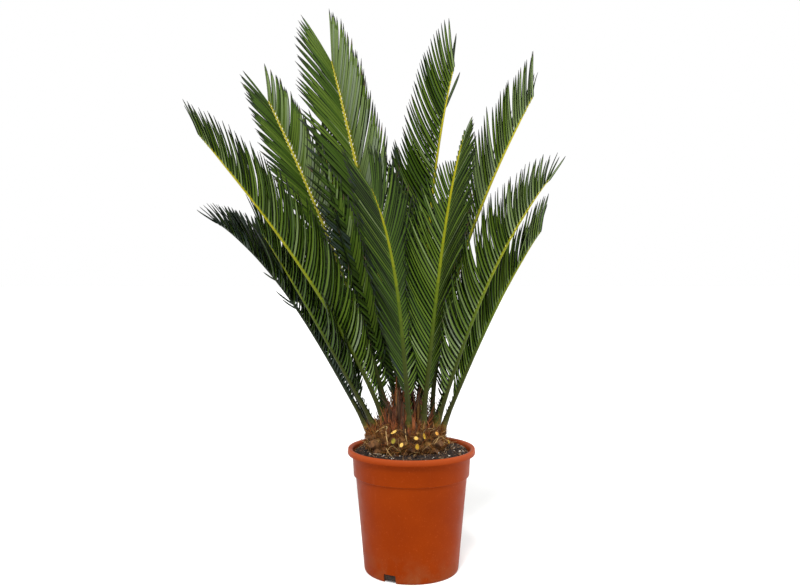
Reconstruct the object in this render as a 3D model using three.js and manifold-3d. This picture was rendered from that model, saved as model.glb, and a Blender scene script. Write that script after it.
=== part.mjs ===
// Sago palm in a nursery pot, in millimetres, +Z up.
// The origin is at the middle of the pot's underside, and -Y is the front.
// Azimuths are in degrees from +X towards +Y. Leans are in degrees from straight up.
import * as THREE from 'three';
import { mergeVertices } from 'three/addons/utils/BufferGeometryUtils.js';
import Module from 'manifold-3d';

const wasm = await Module();
wasm.setup();

// ---------------------------------------------------------------- driving dimensions

const GAP = 0.3;              // clearance between separate pieces
const ROUND = 48;             // facets round the pot and the soil

const POT = {
  height: 200,
  footRadius: 77.4,
  footChamfer: 3,
  wall: 2,
  base: 3,
  waistHeight: 154,           // where the lower wall meets the collar
  waistRadius: 91.5,
  waistStep: 1.5,             // height of the slope under the collar
  collarFoot: 95,
  collarTop: 97.2,
  rimHeight: 10,
  rimRadius: 105,
  rimRound: 2,
  mouthRadius: 96.9,
};

const DRAIN = { count: 3, first: 243, width: 21, height: 13, from: 68, to: 95 };

const SOIL = { top: 188, edgeTop: 185, level: 70 };

// The trunk's outline from the soil up: radius, and height above its flat foot.
const CAUDEX = {
  aside: -9,                  // the trunk stands a little left of the pot's middle, along X
  facets: 24,
  girth: 64.5,
  outline: [[58, 0], [63, 12], [64.5, 24], [61, 36], [52, 45], [38, 51], [22, 54]],
  top: 54,                    // height of the flat growing point
};

const STUB = {                // old leaf bases, cut off short
  rows: 3,
  perRow: 17,
  firstRow: 8,
  rowStep: 12,
  halfWidth: 8.5,
  endWidth: 5.5,
  thinness: 0.72,             // thickness over width
  length: 15,
  sunk: 7,
  inset: 4,                   // how far inside the widest radius the pegs are centred
  tilt: 28,
  tiltStep: 10,
};

const SHOULDER_STUB = { count: 13, radius: 47, height: 44, tilt: 62 };

const LUMPS = [               // two swollen clusters of old bases low on the trunk
  { azimuth: 220, out: 56, height: 23, radius: 19 },
  { azimuth: 320, out: 58, height: 25, radius: 16 },
];

const BUD = { height: 66, radius: 13, tipRadius: 1, facets: 10 };

const BUD_SCALE = {
  count: 7,
  length: 46,
  radius: 4.5,
  tipRadius: 0.8,
  facets: 5,
  out: 7,                     // from the bud's axis to the foot of a scale
  raised: 2,
  splay: 11,
};

const FOOT = { sunk: 14, domeTop: 240, domeFall: 0.004, bladeStart: 74 };

const RIB = {
  baseWidth: 13,
  baseDepth: 10,
  stalkWidth: 8.5,
  stalkDepth: 7.5,
  stalkAt: 40,                // distance above the foot where the leaf base has slimmed to the stalk
  tipWidth: 2.8,
  tipDepth: 2.6,
  edgeAtFoot: 2.4,            // thickness of the blade where a leaflet leaves the rib
  edgeAtTip: 1.5,
  steps: 120,                 // strides in which a rib's curve is worked out
};

const LEAFLET = {
  length: 108,
  pitch: 11,
  shortest: 0.16,             // of the full length, at the foot of the blade
  least: 0.06,                // of the full length, where a row dwindles away towards the tip
  widestAt: 0.42,             // where along the blade the leaflets are longest
  angleAtFoot: 62,            // between a leaflet and the rib
  angleFall: 14,
  meanTurn: 0.91,             // of that angle, at the middle of a leaflet
  droop: 20,                  // how much less a leaflet is raised at its tip than at its root
  steps: 6,
};

const REACHES = [1, 0.85, 0.7, 0.55, 0.4, 0.25];  // a crowded leaflet takes the first that is clear

// Each frond heads for an azimuth. lean: at its foot and at its tip; bend: how late it leans over;
// length: along the rib; foot: the radius and azimuth where it stands on the trunk; roll: its twist
// about the rib; leaf: its longest leaflet; spread: how wide its leaflets stand, as a share of
// LEAFLET's angle; closing: by how much they close at the very tip, and a power that keeps this to
// the last ones. The pairs are for the left row and the right row, seen along the rib with its top
// side up. tips: the length of the last leaflet as a share of leaf, below 0 where the row dwindles
// away before it; lifts: how far the row is raised; bows: how much its leaflets curve forward.
const frondOf = (place, azimuth, shape) => ({
  name: `frond_${place}`,
  azimuth,
  bend: 1,
  roll: 0,
  leaf: LEAFLET.length,
  spread: 0.82,
  closing: [18, 10],
  tips: [0.66, 0.66],
  lifts: [44, 44],
  bows: [0.42, 0.42],
  ...shape,
});

const FRONDS = [
  frondOf('left_upper', 190, {
    lean: [16, 41], bend: 0.5, length: 559, foot: [32, 200],
    leaf: 130, closing: [16, 6], tips: [0.46, 0.46], bows: [0.5, 0.5],
  }),
  frondOf('left_low', 168, {
    lean: [31, 57], bend: 2.6, length: 449, foot: [60, 166],
    leaf: 112, closing: [44, 30], tips: [0.4, 0.4], bows: [0.8, 0.8],
  }),
  frondOf('left_middle', 177, {
    lean: [30, 35], bend: 4, length: 378, foot: [46, 183], leaf: 112, bows: [0.8, 0.8],
  }),
  frondOf('back_left', 138, {
    lean: [11, 34], bend: 0.3, length: 672, foot: [35, 140], roll: -45,
    leaf: 117, tips: [0.76, 0.7], bows: [0.1, 1],
  }),
  frondOf('tall_left', 122, {
    lean: [6, 26], bend: 0.3, length: 720, foot: [31, 101], roll: -42,
    leaf: 156, tips: [0.78, 0.72], bows: [0, 0.85],
  }),
  frondOf('front_left', 240, {
    lean: [8, 42], bend: 2.7, length: 398, foot: [36.5, 280],
    leaf: 116, spread: 0.74, lifts: [70, 15], bows: [0.7, 0.3],
  }),
  frondOf('front_right', 310, {
    lean: [9, 24], bend: 4, length: 475, foot: [35, 315],
    leaf: 118, spread: 0.62, tips: [0.25, -0.5], lifts: [5, 30], bows: [-0.1, 0.3],
  }),
  frondOf('tall_right', 48, {
    lean: [0, 20], bend: 1.5, length: 628, foot: [40, 48], roll: -75,
    leaf: 118, spread: 0.74, closing: [16, 12], tips: [0.84, 0.84],
  }),
  frondOf('right_upper', 22, {
    lean: [-11, 31], bend: 0.4, length: 605, foot: [44, 15], roll: -45,
    leaf: 120, spread: 0.68, closing: [0, 1], tips: [0.7, 0.7], bows: [0.2, 0.2],
  }),
  frondOf('right_middle', 355, {
    lean: [18, 38], bend: 2, length: 448, foot: [46, 345], roll: -5,
    leaf: 116, spread: 0.9, closing: [44, 40], tips: [0.42, 0.42], bows: [0.4, 0.4],
  }),
  frondOf('right_low', 15, {
    lean: [25, 37], bend: 2.2, length: 377, foot: [55, 2], roll: -25,
    leaf: 100, spread: 0.66, closing: [0, 1], tips: [0.7, 0.7],
  }),
  frondOf('back_middle', 95, { lean: [8, 22], length: 450, foot: [28, 68], leaf: 104 }),
  frondOf('back_tall', 128, { lean: [17, 28], length: 555, foot: [52, 128], leaf: 104 }),
  frondOf('back_right', 72, { lean: [20, 46], length: 440, foot: [54, 72], leaf: 104 }),
  frondOf('back_arched', 105, { lean: [24, 52], length: 450, foot: [58, 104], leaf: 104 }),
  frondOf('back_low_left', 142, { lean: [30, 56], length: 395, foot: [68, 146], leaf: 100 }),
  frondOf('back_low_right', 50, { lean: [28, 50], length: 340, foot: [64, 44], leaf: 96 }),
  frondOf('back_low', 88, { lean: [34, 60], length: 370, foot: [68, 88], leaf: 100 }),
];

// ---------------------------------------------------------------- solids and meshes

const radians = THREE.MathUtils.degToRad;
const trunkFoot = SOIL.top + GAP;

// A closed three.js geometry as a manifold solid.
function solidOf(geometry) {
  const bare = geometry.clone();
  bare.deleteAttribute('normal');
  bare.deleteAttribute('uv');
  const merged = mergeVertices(bare, 1e-4);
  return new wasm.Manifold(new wasm.Mesh({
    numProp: 3,
    vertProperties: new Float32Array(merged.attributes.position.array),
    triVerts: new Uint32Array(merged.index.array),
  }));
}

// A manifold solid back as a geometry.
function geometryOf(solid) {
  const mesh = solid.getMesh();
  return indexedGeometry(Array.from(mesh.vertProperties), Array.from(mesh.triVerts));
}

function indexedGeometry(positions, triangles) {
  const geometry = new THREE.BufferGeometry();
  geometry.setAttribute('position', new THREE.Float32BufferAttribute(positions, 3));
  geometry.setIndex(triangles);
  geometry.computeVertexNormals();
  return geometry;
}

// The biggest piece of a cut solid, so that no loose scrap stays in it.
function mainPiece(solid) {
  const pieces = solid.decompose();
  return pieces.reduce((best, piece) => (piece.volume() > best.volume() ? piece : best));
}

// A lathe turned about Z from [radius, height] pairs that start and end on the axis.
function turned(profile, facets) {
  const points = profile.map(([radius, height]) => new THREE.Vector2(radius, height));
  return new THREE.LatheGeometry(points, facets).rotateX(Math.PI / 2);
}

function namedMesh(name, geometry, finish) {
  const mesh = new THREE.Mesh(geometry, new THREE.MeshStandardMaterial(finish));
  mesh.name = name;
  return mesh;
}

// The point at a radius, azimuth and height.
function around(radius, azimuth, height) {
  const angle = radians(azimuth);
  return new THREE.Vector3(radius * Math.cos(angle), radius * Math.sin(angle), height);
}

// ---------------------------------------------------------------- pot and soil

// The inside of the pot from the rim down to the base, moved in by a clearance.
function insideWall(clearance) {
  const baseRadius = POT.footRadius - POT.wall;
  return [
    [POT.collarTop - POT.wall - clearance, POT.height - POT.rimHeight],
    [POT.collarFoot - POT.wall - clearance, POT.waistHeight + POT.waistStep],
    [POT.waistRadius - POT.wall - clearance, POT.waistHeight - POT.waistStep],
    [baseRadius - clearance, POT.base + clearance],
  ];
}

function potGeometry() {
  const rimFoot = POT.height - POT.rimHeight;
  const profile = [
    [0, 0],
    [POT.footRadius - POT.footChamfer, 0],
    [POT.footRadius, POT.footChamfer],
    [POT.waistRadius, POT.waistHeight],
    [POT.collarFoot, POT.waistHeight + POT.waistStep],
    [POT.collarTop, rimFoot],
    [POT.rimRadius - POT.rimRound, rimFoot],
    [POT.rimRadius, rimFoot + POT.rimRound],
    [POT.rimRadius, POT.height - POT.rimRound],
    [POT.rimRadius - POT.rimRound, POT.height],
    [POT.mouthRadius + POT.rimRound, POT.height],
    [POT.mouthRadius, POT.height - POT.rimRound],
    ...insideWall(0),
    [0, POT.base],
  ];
  let pot = solidOf(turned(profile, ROUND));
  for (let slot = 0; slot < DRAIN.count; slot += 1) {
    const depth = DRAIN.to - DRAIN.from;
    const cutter = new THREE.BoxGeometry(depth, DRAIN.width, 2 * DRAIN.height);
    cutter.translate(DRAIN.from + depth / 2, 0, 0);
    cutter.rotateZ(radians(DRAIN.first + (360 / DRAIN.count) * slot));
    pot = pot.subtract(solidOf(cutter));
  }
  return geometryOf(pot);
}

// The potting mix fills the pot, level under the trunk and a little lower at the wall.
function soilGeometry() {
  const wall = insideWall(GAP);
  const [topRadius, topHeight] = wall[0];
  const [lowRadius, lowHeight] = wall[1];
  const share = (SOIL.edgeTop - lowHeight) / (topHeight - lowHeight);
  const edge = [lowRadius + (topRadius - lowRadius) * share, SOIL.edgeTop];
  const top = [edge, [SOIL.level, SOIL.top], [0, SOIL.top]];
  return turned([[0, POT.base + GAP], ...wall.slice(1).reverse(), ...top], ROUND);
}

// ---------------------------------------------------------------- trunk and bud

// A cut-off leaf base: a four-sided peg that slants out of the trunk, its root sunk in.
function stubSolid(radius, azimuth, height, tilt) {
  const peg = new THREE.CylinderGeometry(STUB.endWidth, STUB.halfWidth, STUB.length, 4);
  peg.translate(0, STUB.length / 2 - STUB.sunk, 0);
  peg.scale(STUB.thinness, 1, 1);
  peg.rotateZ(radians(tilt - 90));
  peg.rotateX(Math.PI / 2);
  peg.translate(radius, 0, height);
  peg.rotateZ(radians(azimuth));
  return solidOf(peg);
}

// A solid built about the pot's axis, moved to where the trunk stands.
function onTrunk(solid) {
  return solidOf(geometryOf(solid).translate(CAUDEX.aside, 0, 0));
}

// The squat barrel of the trunk, from its flat cut at the soil to the growing point, with the old
// leaf bases and the swollen clusters joined on.
function caudexSolid() {
  const outline = CAUDEX.outline.map(([radius, height]) => [radius, trunkFoot + height]);
  const profile = [[0, trunkFoot], ...outline, [0, trunkFoot + CAUDEX.top]];
  let trunk = solidOf(turned(profile, CAUDEX.facets));
  for (const lump of LUMPS) {
    const ball = new THREE.IcosahedronGeometry(lump.radius, 1);
    const centre = around(lump.out, lump.azimuth, trunkFoot + lump.height);
    trunk = trunk.add(solidOf(ball.translate(centre.x, centre.y, centre.z)));
  }
  for (let row = 0; row < STUB.rows; row += 1) {
    const height = trunkFoot + STUB.firstRow + row * STUB.rowStep;
    for (let i = 0; i < STUB.perRow; i += 1) {
      const azimuth = (360 / STUB.perRow) * (i + (row % 2) / 2);
      const tilt = STUB.tilt + row * STUB.tiltStep;
      trunk = trunk.add(stubSolid(CAUDEX.girth - STUB.inset, azimuth, height, tilt));
    }
  }
  for (let i = 0; i < SHOULDER_STUB.count; i += 1) {
    const azimuth = (360 / SHOULDER_STUB.count) * i;
    const height = trunkFoot + SHOULDER_STUB.height;
    trunk = trunk.add(stubSolid(SHOULDER_STUB.radius, azimuth, height, SHOULDER_STUB.tilt));
  }
  const ground = new THREE.BoxGeometry(4 * CAUDEX.girth, 4 * CAUDEX.girth, CAUDEX.girth);
  return onTrunk(trunk.subtract(solidOf(ground.translate(0, 0, trunkFoot - CAUDEX.girth / 2))));
}

// The bud of overlapping pointed scales that stands on the growing point.
function budSolid() {
  const foot = trunkFoot + CAUDEX.top + GAP;
  const spike = ({ tipRadius, radius, facets }, height) => new THREE
    .CylinderGeometry(tipRadius, radius, height, facets)
    .rotateX(Math.PI / 2)
    .translate(0, 0, height / 2);
  let bud = solidOf(spike(BUD, BUD.height).translate(0, 0, foot));
  for (let i = 0; i < BUD_SCALE.count; i += 1) {
    const scale = spike(BUD_SCALE, BUD_SCALE.length);
    scale.rotateY(radians(BUD_SCALE.splay));
    scale.translate(BUD_SCALE.out, 0, foot + BUD_SCALE.raised);
    scale.rotateZ(radians((360 / BUD_SCALE.count) * i));
    bud = bud.add(solidOf(scale));
  }
  return onTrunk(bud);
}

// ---------------------------------------------------------------- fronds

// Where a frond's rib runs: a function of the distance from its foot that gives the place on the
// rib and the three directions there, along it, up out of the blade and out to its right side.
function ribPath(frond) {
  const { azimuth, bend, length, roll } = frond;
  const [footLean, tipLean] = frond.lean;
  const [radius, side] = frond.foot;
  const steps = RIB.steps;
  const heading = radians(azimuth);
  const leanAt = (share) => radians(footLean + (tipLean - footLean) * share ** bend);
  const direction = (lean) => new THREE.Vector3(
    Math.sin(lean) * Math.cos(heading),
    Math.sin(lean) * Math.sin(heading),
    Math.cos(lean),
  );
  const foot = around(radius, side, FOOT.domeTop - FOOT.domeFall * radius ** 2);
  foot.x += CAUDEX.aside;
  const places = [foot];
  for (let i = 0; i < steps; i += 1) {
    const stride = direction(leanAt((i + 0.5) / steps)).multiplyScalar(length / steps);
    places.push(places[i].clone().add(stride));
  }
  return (distance) => {
    const share = THREE.MathUtils.clamp(distance / length, 0, 1);
    const lean = leanAt(share);
    const along = direction(lean);
    const up = new THREE.Vector3(
      -Math.cos(lean) * Math.cos(heading),
      -Math.cos(lean) * Math.sin(heading),
      Math.sin(lean),
    ).applyAxisAngle(along, radians(roll));
    const index = Math.min(Math.floor(share * steps), steps - 1);
    const place = places[index].clone().lerp(places[index + 1], share * steps - index);
    place.addScaledVector(along, distance - share * length);
    return { place, along, up, right: along.clone().cross(up) };
  };
}

// How wide and deep the rib is at a distance from its foot, and how thick the blade's root is.
function ribSize(distance, length) {
  const { lerp, clamp } = THREE.MathUtils;
  if (distance < RIB.stalkAt) {
    const share = clamp(distance / RIB.stalkAt, 0, 1);
    return {
      width: lerp(RIB.baseWidth, RIB.stalkWidth, share),
      depth: lerp(RIB.baseDepth, RIB.stalkDepth, share),
      edge: RIB.edgeAtFoot,
    };
  }
  const share = (distance - RIB.stalkAt) / (length - RIB.stalkAt);
  return {
    width: lerp(RIB.stalkWidth, RIB.tipWidth, share),
    depth: lerp(RIB.stalkDepth, RIB.tipDepth, share),
    edge: lerp(RIB.edgeAtFoot, RIB.edgeAtTip, share),
  };
}

// The corners of a rib's section between which its leaflets leave it.
const LEFT = { side: -1, top: 0, low: 1 };
const RIGHT = { side: 1, top: 4, low: 3 };

// The rib's five-cornered section: top left, low left, keel, low right, top right.
function ribSection(frame, size, grow) {
  const half = size.width / 2 + grow;
  const low = -size.edge - grow;
  const corners = [[-half, grow], [-half, low], [0, -size.depth - grow], [half, low], [half, grow]];
  return corners.map(([across, up]) => frame.place.clone()
    .addScaledVector(frame.right, across)
    .addScaledVector(frame.up, up));
}

// Where the leaflet that leaves the rib at share u of the blade ends, if it reaches full length.
function leafletTip(frond, frame, root, side, u) {
  const { widestAt, shortest, least, angleAtFoot, angleFall, meanTurn, droop, steps } = LEAFLET;
  const row = side < 0 ? 0 : 1;
  const rise = shortest + (1 - shortest) * (1 - (1 - u / widestAt) ** 2);
  const drop = ((u - widestAt) / (1 - widestAt)) ** 2;
  const fall = Math.max(least, 1 - (1 - frond.tips[row]) * drop);
  const step = (frond.leaf * (u < widestAt ? rise : fall)) / steps;
  const [closing, power] = frond.closing;
  const angle = radians((angleAtFoot - angleFall * u) * frond.spread - closing * u ** power);
  const tip = root.clone();
  for (let i = 0; i < steps; i += 1) {
    const toTip = (i + 0.5) / steps - 0.5;
    const lift = radians(frond.lifts[row] - droop * toTip);
    const turn = angle * (meanTurn - frond.bows[row] * toTip);
    tip.addScaledVector(frame.along, step * Math.cos(turn));
    tip.addScaledVector(frame.right, step * Math.sin(turn) * Math.cos(lift) * side);
    tip.addScaledVector(frame.up, step * Math.sin(turn) * Math.sin(lift));
  }
  return tip;
}

// The distances from the foot at which the rib has a section, and how many of them are stalk.
function ribStations(frond) {
  const { length } = frond;
  const stalk = [-FOOT.sunk, 0, RIB.stalkAt / 2, RIB.stalkAt];
  const blade = length - FOOT.bladeStart;
  const count = Math.round(blade / LEAFLET.pitch);
  const leafy = Array.from({ length: count + 1 }, (_, i) => FOOT.bladeStart + (blade * i) / count);
  return { stations: [...stalk, ...leafy], stalkCount: stalk.length, count };
}

// A closed surface through a row of rib sections. Between two sections each side either stays flat
// or, where tipsAt gives a point, is drawn out to it as a leaflet.
function ribSurface(sections, tipsAt = () => ({})) {
  const positions = sections.flat().flatMap((corner) => corner.toArray());
  const triangles = [];
  const sides = sections[0].length;
  const last = (sections.length - 1) * sides;
  for (let k = 1; k < sides - 1; k += 1) {
    triangles.push(0, k, k + 1, last, last + k + 1, last + k);
  }
  for (let s = 0; s < sections.length - 1; s += 1) {
    const tips = tipsAt(s);
    for (let k = 0; k < sides; k += 1) {
      const [a, b] = [s * sides + k, s * sides + ((k + 1) % sides)];
      const [c, d] = [b + sides, a + sides];
      const tip = { [LEFT.top]: tips.left, [RIGHT.low]: tips.right }[k];
      if (tip) {
        const point = positions.length / 3;
        positions.push(...tip);
        triangles.push(a, d, point, d, c, point, c, b, point, b, a, point);
      } else {
        triangles.push(a, d, c, a, c, b);
      }
    }
  }
  return indexedGeometry(positions, triangles);
}

// A frond as one closed surface, with the leaflets that the given tips draw out of its rib.
function frondSurface(frond, tips) {
  const path = ribPath(frond);
  const { stations, stalkCount } = ribStations(frond);
  const sections = stations.map((at) => ribSection(path(at), ribSize(at, frond.length), 0));
  return ribSurface(sections, (s) => tips[s - stalkCount] ?? {});
}

// The room that one leaflet needs, with its clearance: its two root edges drawn out to its tip.
function leafletRoom(edges, tip, frame) {
  const [topNear, topFar, lowFar, lowNear] = edges;
  const signs = [[-1, 1], [1, 1], [1, -1], [-1, -1]];
  const corners = [topNear, topFar, lowFar, lowNear];
  const moved = (point, [along, up]) => point.clone()
    .addScaledVector(frame.along, GAP * along)
    .addScaledVector(frame.up, GAP * up);
  const ring = corners.map((point, i) => moved(point, signs[i]));
  const end = signs.map((sign) => moved(tip, sign));
  return [...ring, ...end];
}

// The triangles of that room, whose first four corners are at the root and last four at the tip.
const ROOM_FACES = [
  0, 1, 5, 0, 5, 4, 1, 2, 6, 1, 6, 5, 2, 3, 7, 2, 7, 6, 3, 0, 4, 3, 4, 7, 0, 3, 2, 0, 2, 1, 4, 5, 6, 4, 6, 7,
];

function roomSolid(points, side) {
  const faces = side < 0 ? ROOM_FACES : ROOM_FACES.slice().reverse();
  return new wasm.Manifold(new wasm.Mesh({
    numProp: 3,
    vertProperties: new Float32Array(points.flatMap((point) => point.toArray())),
    triVerts: new Uint32Array(faces),
  }));
}

function boxesMeet(a, b) {
  return [0, 1, 2].every((axis) => a.min[axis] < b.max[axis] && b.min[axis] < a.max[axis]);
}

// Whether a leaflet's room is clear of every solid around it.
function isClear(room, blockers) {
  const box = room.boundingBox();
  return blockers.every((blocker) => {
    if (!boxesMeet(box, blocker.box)) return true;
    const shared = room.intersect(blocker.solid);
    const clear = shared.isEmpty();
    shared.delete();
    return clear;
  });
}

// The leaflets' tips for one frond, each drawn back until it is clear of what is near it.
function leafletTips(frond, blockers) {
  const path = ribPath(frond);
  const { stations, stalkCount, count } = ribStations(frond);
  return Array.from({ length: count }, (_, i) => {
    const near = stations[stalkCount + i];
    const far = stations[stalkCount + i + 1];
    const frame = path((near + far) / 2);
    const sections = [near, far].map((at) => ribSection(path(at), ribSize(at, frond.length), 0));
    const found = {};
    for (const [label, { side, top, low }] of Object.entries({ left: LEFT, right: RIGHT })) {
      const edges = [sections[0][top], sections[1][top], sections[1][low], sections[0][low]];
      const root = edges.reduce((sum, point) => sum.add(point), new THREE.Vector3()).divideScalar(4);
      const tip = leafletTip(frond, frame, root, side, (i + 0.5) / count);
      for (const reach of REACHES) {
        const end = root.clone().lerp(tip, reach);
        const room = roomSolid(leafletRoom(edges, end, frame), side);
        const clear = isClear(room, blockers);
        room.delete();
        if (clear) {
          found[label] = end;
          break;
        }
      }
    }
    return found;
  });
}

// The socket that a frond's foot stands in: its rib near the foot, grown by the gap.
function socketSolid(frond) {
  const path = ribPath(frond);
  const reach = [-FOOT.sunk - GAP, 0, RIB.stalkAt / 2, RIB.stalkAt, FOOT.bladeStart];
  const sections = reach.map((at) => ribSection(path(at), ribSize(at, frond.length), GAP));
  return solidOf(ribSurface(sections));
}

// ---------------------------------------------------------------- the plant in its pot

const leafGreen = { color: 0x3f5a2c, roughness: 0.45, metalness: 0 };

let caudex = caudexSolid();
for (const frond of FRONDS) {
  caudex = caudex.subtract(socketSolid(frond));
}
caudex = mainPiece(caudex);
const bud = budSolid();

const blocker = (solid) => ({ solid, box: solid.boundingBox() });
const ribs = FRONDS.map((frond) => blocker(solidOf(frondSurface(frond, []))));
const finished = [blocker(caudex), blocker(bud)];
const frondMeshes = FRONDS.map((frond, i) => {
  const tips = leafletTips(frond, [...finished, ...ribs.slice(i + 1)]);
  const surface = frondSurface(frond, tips);
  finished.push(blocker(solidOf(surface)));
  return namedMesh(frond.name, surface, leafGreen);
});

const palm = new THREE.Group();
palm.add(namedMesh('pot', potGeometry(), { color: 0xa64a26, roughness: 0.5, metalness: 0 }));
palm.add(namedMesh('soil', soilGeometry(), { color: 0x33251c, roughness: 0.95, metalness: 0 }));
palm.add(namedMesh('caudex', geometryOf(caudex), { color: 0x5a4128, roughness: 0.9, metalness: 0 }));
palm.add(namedMesh('crown_bud', geometryOf(bud), { color: 0x8a5a30, roughness: 0.8, metalness: 0 }));
palm.add(...frondMeshes);

export default palm;
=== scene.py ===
# %% [markdown]
# # A sago palm in a nursery pot
# A sago palm is a cycad: a squat woolly trunk with a crown of stiff leaves, each like a feather
# with dozens of narrow leaflets on either side of its rib. It stands in a plain plastic pot.
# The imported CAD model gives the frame, where every pot wall, rib and trunk radius already has its
# place. A piece below that stands for a CAD node keeps to that node's own space. The small things
# that the CAD model leaves out, such as wool, spines and crumbs, are added on top.

# %% Load the frame
import math

import bmesh
import bpy
import numpy as np
from mathutils import Matrix, Vector, kdtree, noise


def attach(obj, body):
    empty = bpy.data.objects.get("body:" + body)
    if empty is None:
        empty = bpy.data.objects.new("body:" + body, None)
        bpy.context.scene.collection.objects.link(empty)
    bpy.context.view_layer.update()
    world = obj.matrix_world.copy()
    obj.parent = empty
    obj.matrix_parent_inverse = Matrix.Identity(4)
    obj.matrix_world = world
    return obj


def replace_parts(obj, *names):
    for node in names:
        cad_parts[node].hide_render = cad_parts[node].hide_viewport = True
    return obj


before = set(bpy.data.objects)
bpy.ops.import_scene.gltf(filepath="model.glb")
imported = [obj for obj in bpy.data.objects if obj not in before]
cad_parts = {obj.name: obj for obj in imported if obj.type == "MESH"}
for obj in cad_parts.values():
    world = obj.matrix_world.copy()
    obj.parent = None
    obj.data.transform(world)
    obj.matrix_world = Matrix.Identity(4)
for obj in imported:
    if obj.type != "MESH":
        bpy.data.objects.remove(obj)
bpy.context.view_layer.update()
MM = 0.001

# %% [markdown]
# ## Camera, floor and light
# The plant is seen from about 1.3 m away, level with the lower third of its fronds. A pale floor
# and a nearly white sky give even light from all around, and the camera sees both a little brighter
# than the light they give. A broad sun from above the camera gives the leaves a lit and a shaded
# row. A softbox leaves a long soft gleam on the pot's right side, and one a faint gleam on its left.

# %% Camera
scene = bpy.context.scene
camera = bpy.data.objects.new("camera", bpy.data.cameras.new("camera"))
camera.data.lens, camera.data.sensor_width = 36, 36
camera.data.shift_y = -0.015
camera.location = (-0.0188, -1.320, 0.4728)
camera.rotation_euler = (math.radians(90), 0, 0)
scene.collection.objects.link(camera)
scene.camera = camera
print("camera at", tuple(round(x, 3) for x in camera.location))


# %% Colours and shaders
def tone(red, green, blue):
    """A screen colour, 0 to 255, as the linear colour that a shader takes."""
    return tuple((part / 255) ** 2.2 for part in (red, green, blue)) + (1.0,)


def painted(name, colour, roughness, **sockets):
    """A new material with one plain colour. Further shader sockets are named with _ for a space."""
    material = bpy.data.materials.new(name)
    material.use_nodes = True
    shader = material.node_tree.nodes["Principled BSDF"]
    shader.inputs["Base Color"].default_value = colour
    shader.inputs["Roughness"].default_value = roughness
    for socket, value in sockets.items():
        shader.inputs[socket.replace("_", " ")].default_value = value
    return material


# %% Floor, sky and softboxes
def softbox(name, place, target, size, power):
    """A large rectangular light that faces its target."""
    light = bpy.data.objects.new(name, bpy.data.lights.new(name, "AREA"))
    light.data.shape, light.data.energy = "RECTANGLE", power
    light.data.size, light.data.size_y = size
    light.location = place
    light.rotation_euler = (Vector(target) - Vector(place)).to_track_quat("-Z", "Y").to_euler()
    scene.collection.objects.link(light)


def new_object(name, mesh, *materials):
    """Links a mesh into the scene as an object with these material slots."""
    obj = bpy.data.objects.new(name, mesh)
    scene.collection.objects.link(obj)
    for material in materials:
        mesh.materials.append(material)
    return obj


def mesh_of(bm, name):
    """A bmesh as a finished mesh."""
    mesh = bpy.data.meshes.new(name)
    bm.to_mesh(mesh)
    bm.free()
    return mesh


bm = bmesh.new()
bmesh.ops.create_circle(bm, cap_ends=True, segments=96, radius=60)
pale_floor = painted("pale_floor", tone(246, 246, 245), 0.9, Emission_Color=(1, 1, 1, 1))
floor = new_object("floor", mesh_of(bm, "floor"), pale_floor)


def brighter_to_camera(tree, strength, otherwise, to_camera):
    """Gives a strength one value for the camera's rays and another for the light that falls."""
    seen = tree.nodes.new("ShaderNodeLightPath")
    bright = tree.nodes.new("ShaderNodeMapRange")
    bright.inputs["To Min"].default_value = otherwise
    bright.inputs["To Max"].default_value = to_camera
    tree.links.new(seen.outputs["Is Camera Ray"], bright.inputs["Value"])
    tree.links.new(bright.outputs["Result"], strength)


scene.world = bpy.data.worlds.new("pale_sky")
scene.world.use_nodes = True
sky = scene.world.node_tree.nodes["Background"]
sky.inputs["Color"].default_value = (1, 1, 1, 1)
brighter_to_camera(scene.world.node_tree, sky.inputs["Strength"], otherwise=0.78, to_camera=1.0)
glow = pale_floor.node_tree.nodes["Principled BSDF"].inputs["Emission Strength"]
brighter_to_camera(pale_floor.node_tree, glow, otherwise=0.0, to_camera=0.12)
scene.view_settings.view_transform = "Standard"
sun = bpy.data.objects.new("broad_sun", bpy.data.lights.new("broad_sun", "SUN"))
sun.data.energy, sun.data.angle = 2.6, math.radians(16)
sun.rotation_euler = Vector((0.16, 0.72, -0.92)).to_track_quat("-Z", "Y").to_euler()
scene.collection.objects.link(sun)
softbox("left_gleam", (-1.6, 0.1, 0.9), target=(0, 0, 0.3), size=(0.5, 1.6), power=1)
softbox("right_gleam", (1.7, 0.2, 0.9), target=(0, 0, 0.3), size=(0.6, 1.6), power=14)

# %% [markdown]
# ## Sizes
# The numbers below are the plant's own, in millimetres, with +Z up and -Y at the front. The trunk
# stands on the potting mix. A frond is a rib that leans over more and more towards its tip:
# its row here gives the azimuth it heads for, its lean at foot and tip, how late it bends, its
# length, where its foot stands on the trunk, its twist, and the length of its longest leaflet.

# %% Pot, soil and trunk sizes
POT = {"height": 200, "foot": 77.4, "foot_height": 3, "hollow": 52, "hollow_height": 1.2,
       "waist": 91.5, "waist_height": 154, "half_step": 1.5, "collar_foot": 95, "collar_top": 97.2,
       "rim": 105, "rim_height": 10, "mouth": 96.9, "lip_fall": 1.8, "wall": 2, "base": 3}
DRAIN = {"count": 3, "first": 243, "width": 21, "height": 13, "from": 68, "to": 95}
SOIL = {"top": 188, "edge": 185, "level": 70, "reach": 94.5, "gap": 0.3}
TRUNK_FOOT = SOIL["top"] + SOIL["gap"]
TRUNK_ASIDE = -9.0  # the trunk stands a little left of the pot's middle
TRUNK_HEIGHT = 54
TRUNK_OUTLINE = [(58, 0), (63, 12), (64.5, 24), (61, 36), (52, 45), (38, 51), (22, TRUNK_HEIGHT),
                 (0, TRUNK_HEIGHT)]
# The stalks stand on a dome that falls off by the square of the radius, and start sunk below it.
CROWN = {"dome": 240, "fall": 0.004, "sunk": 14}
print("pot", POT["height"], "mm high, trunk", 2 * max(r for r, _ in TRUNK_OUTLINE), "mm thick")


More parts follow.
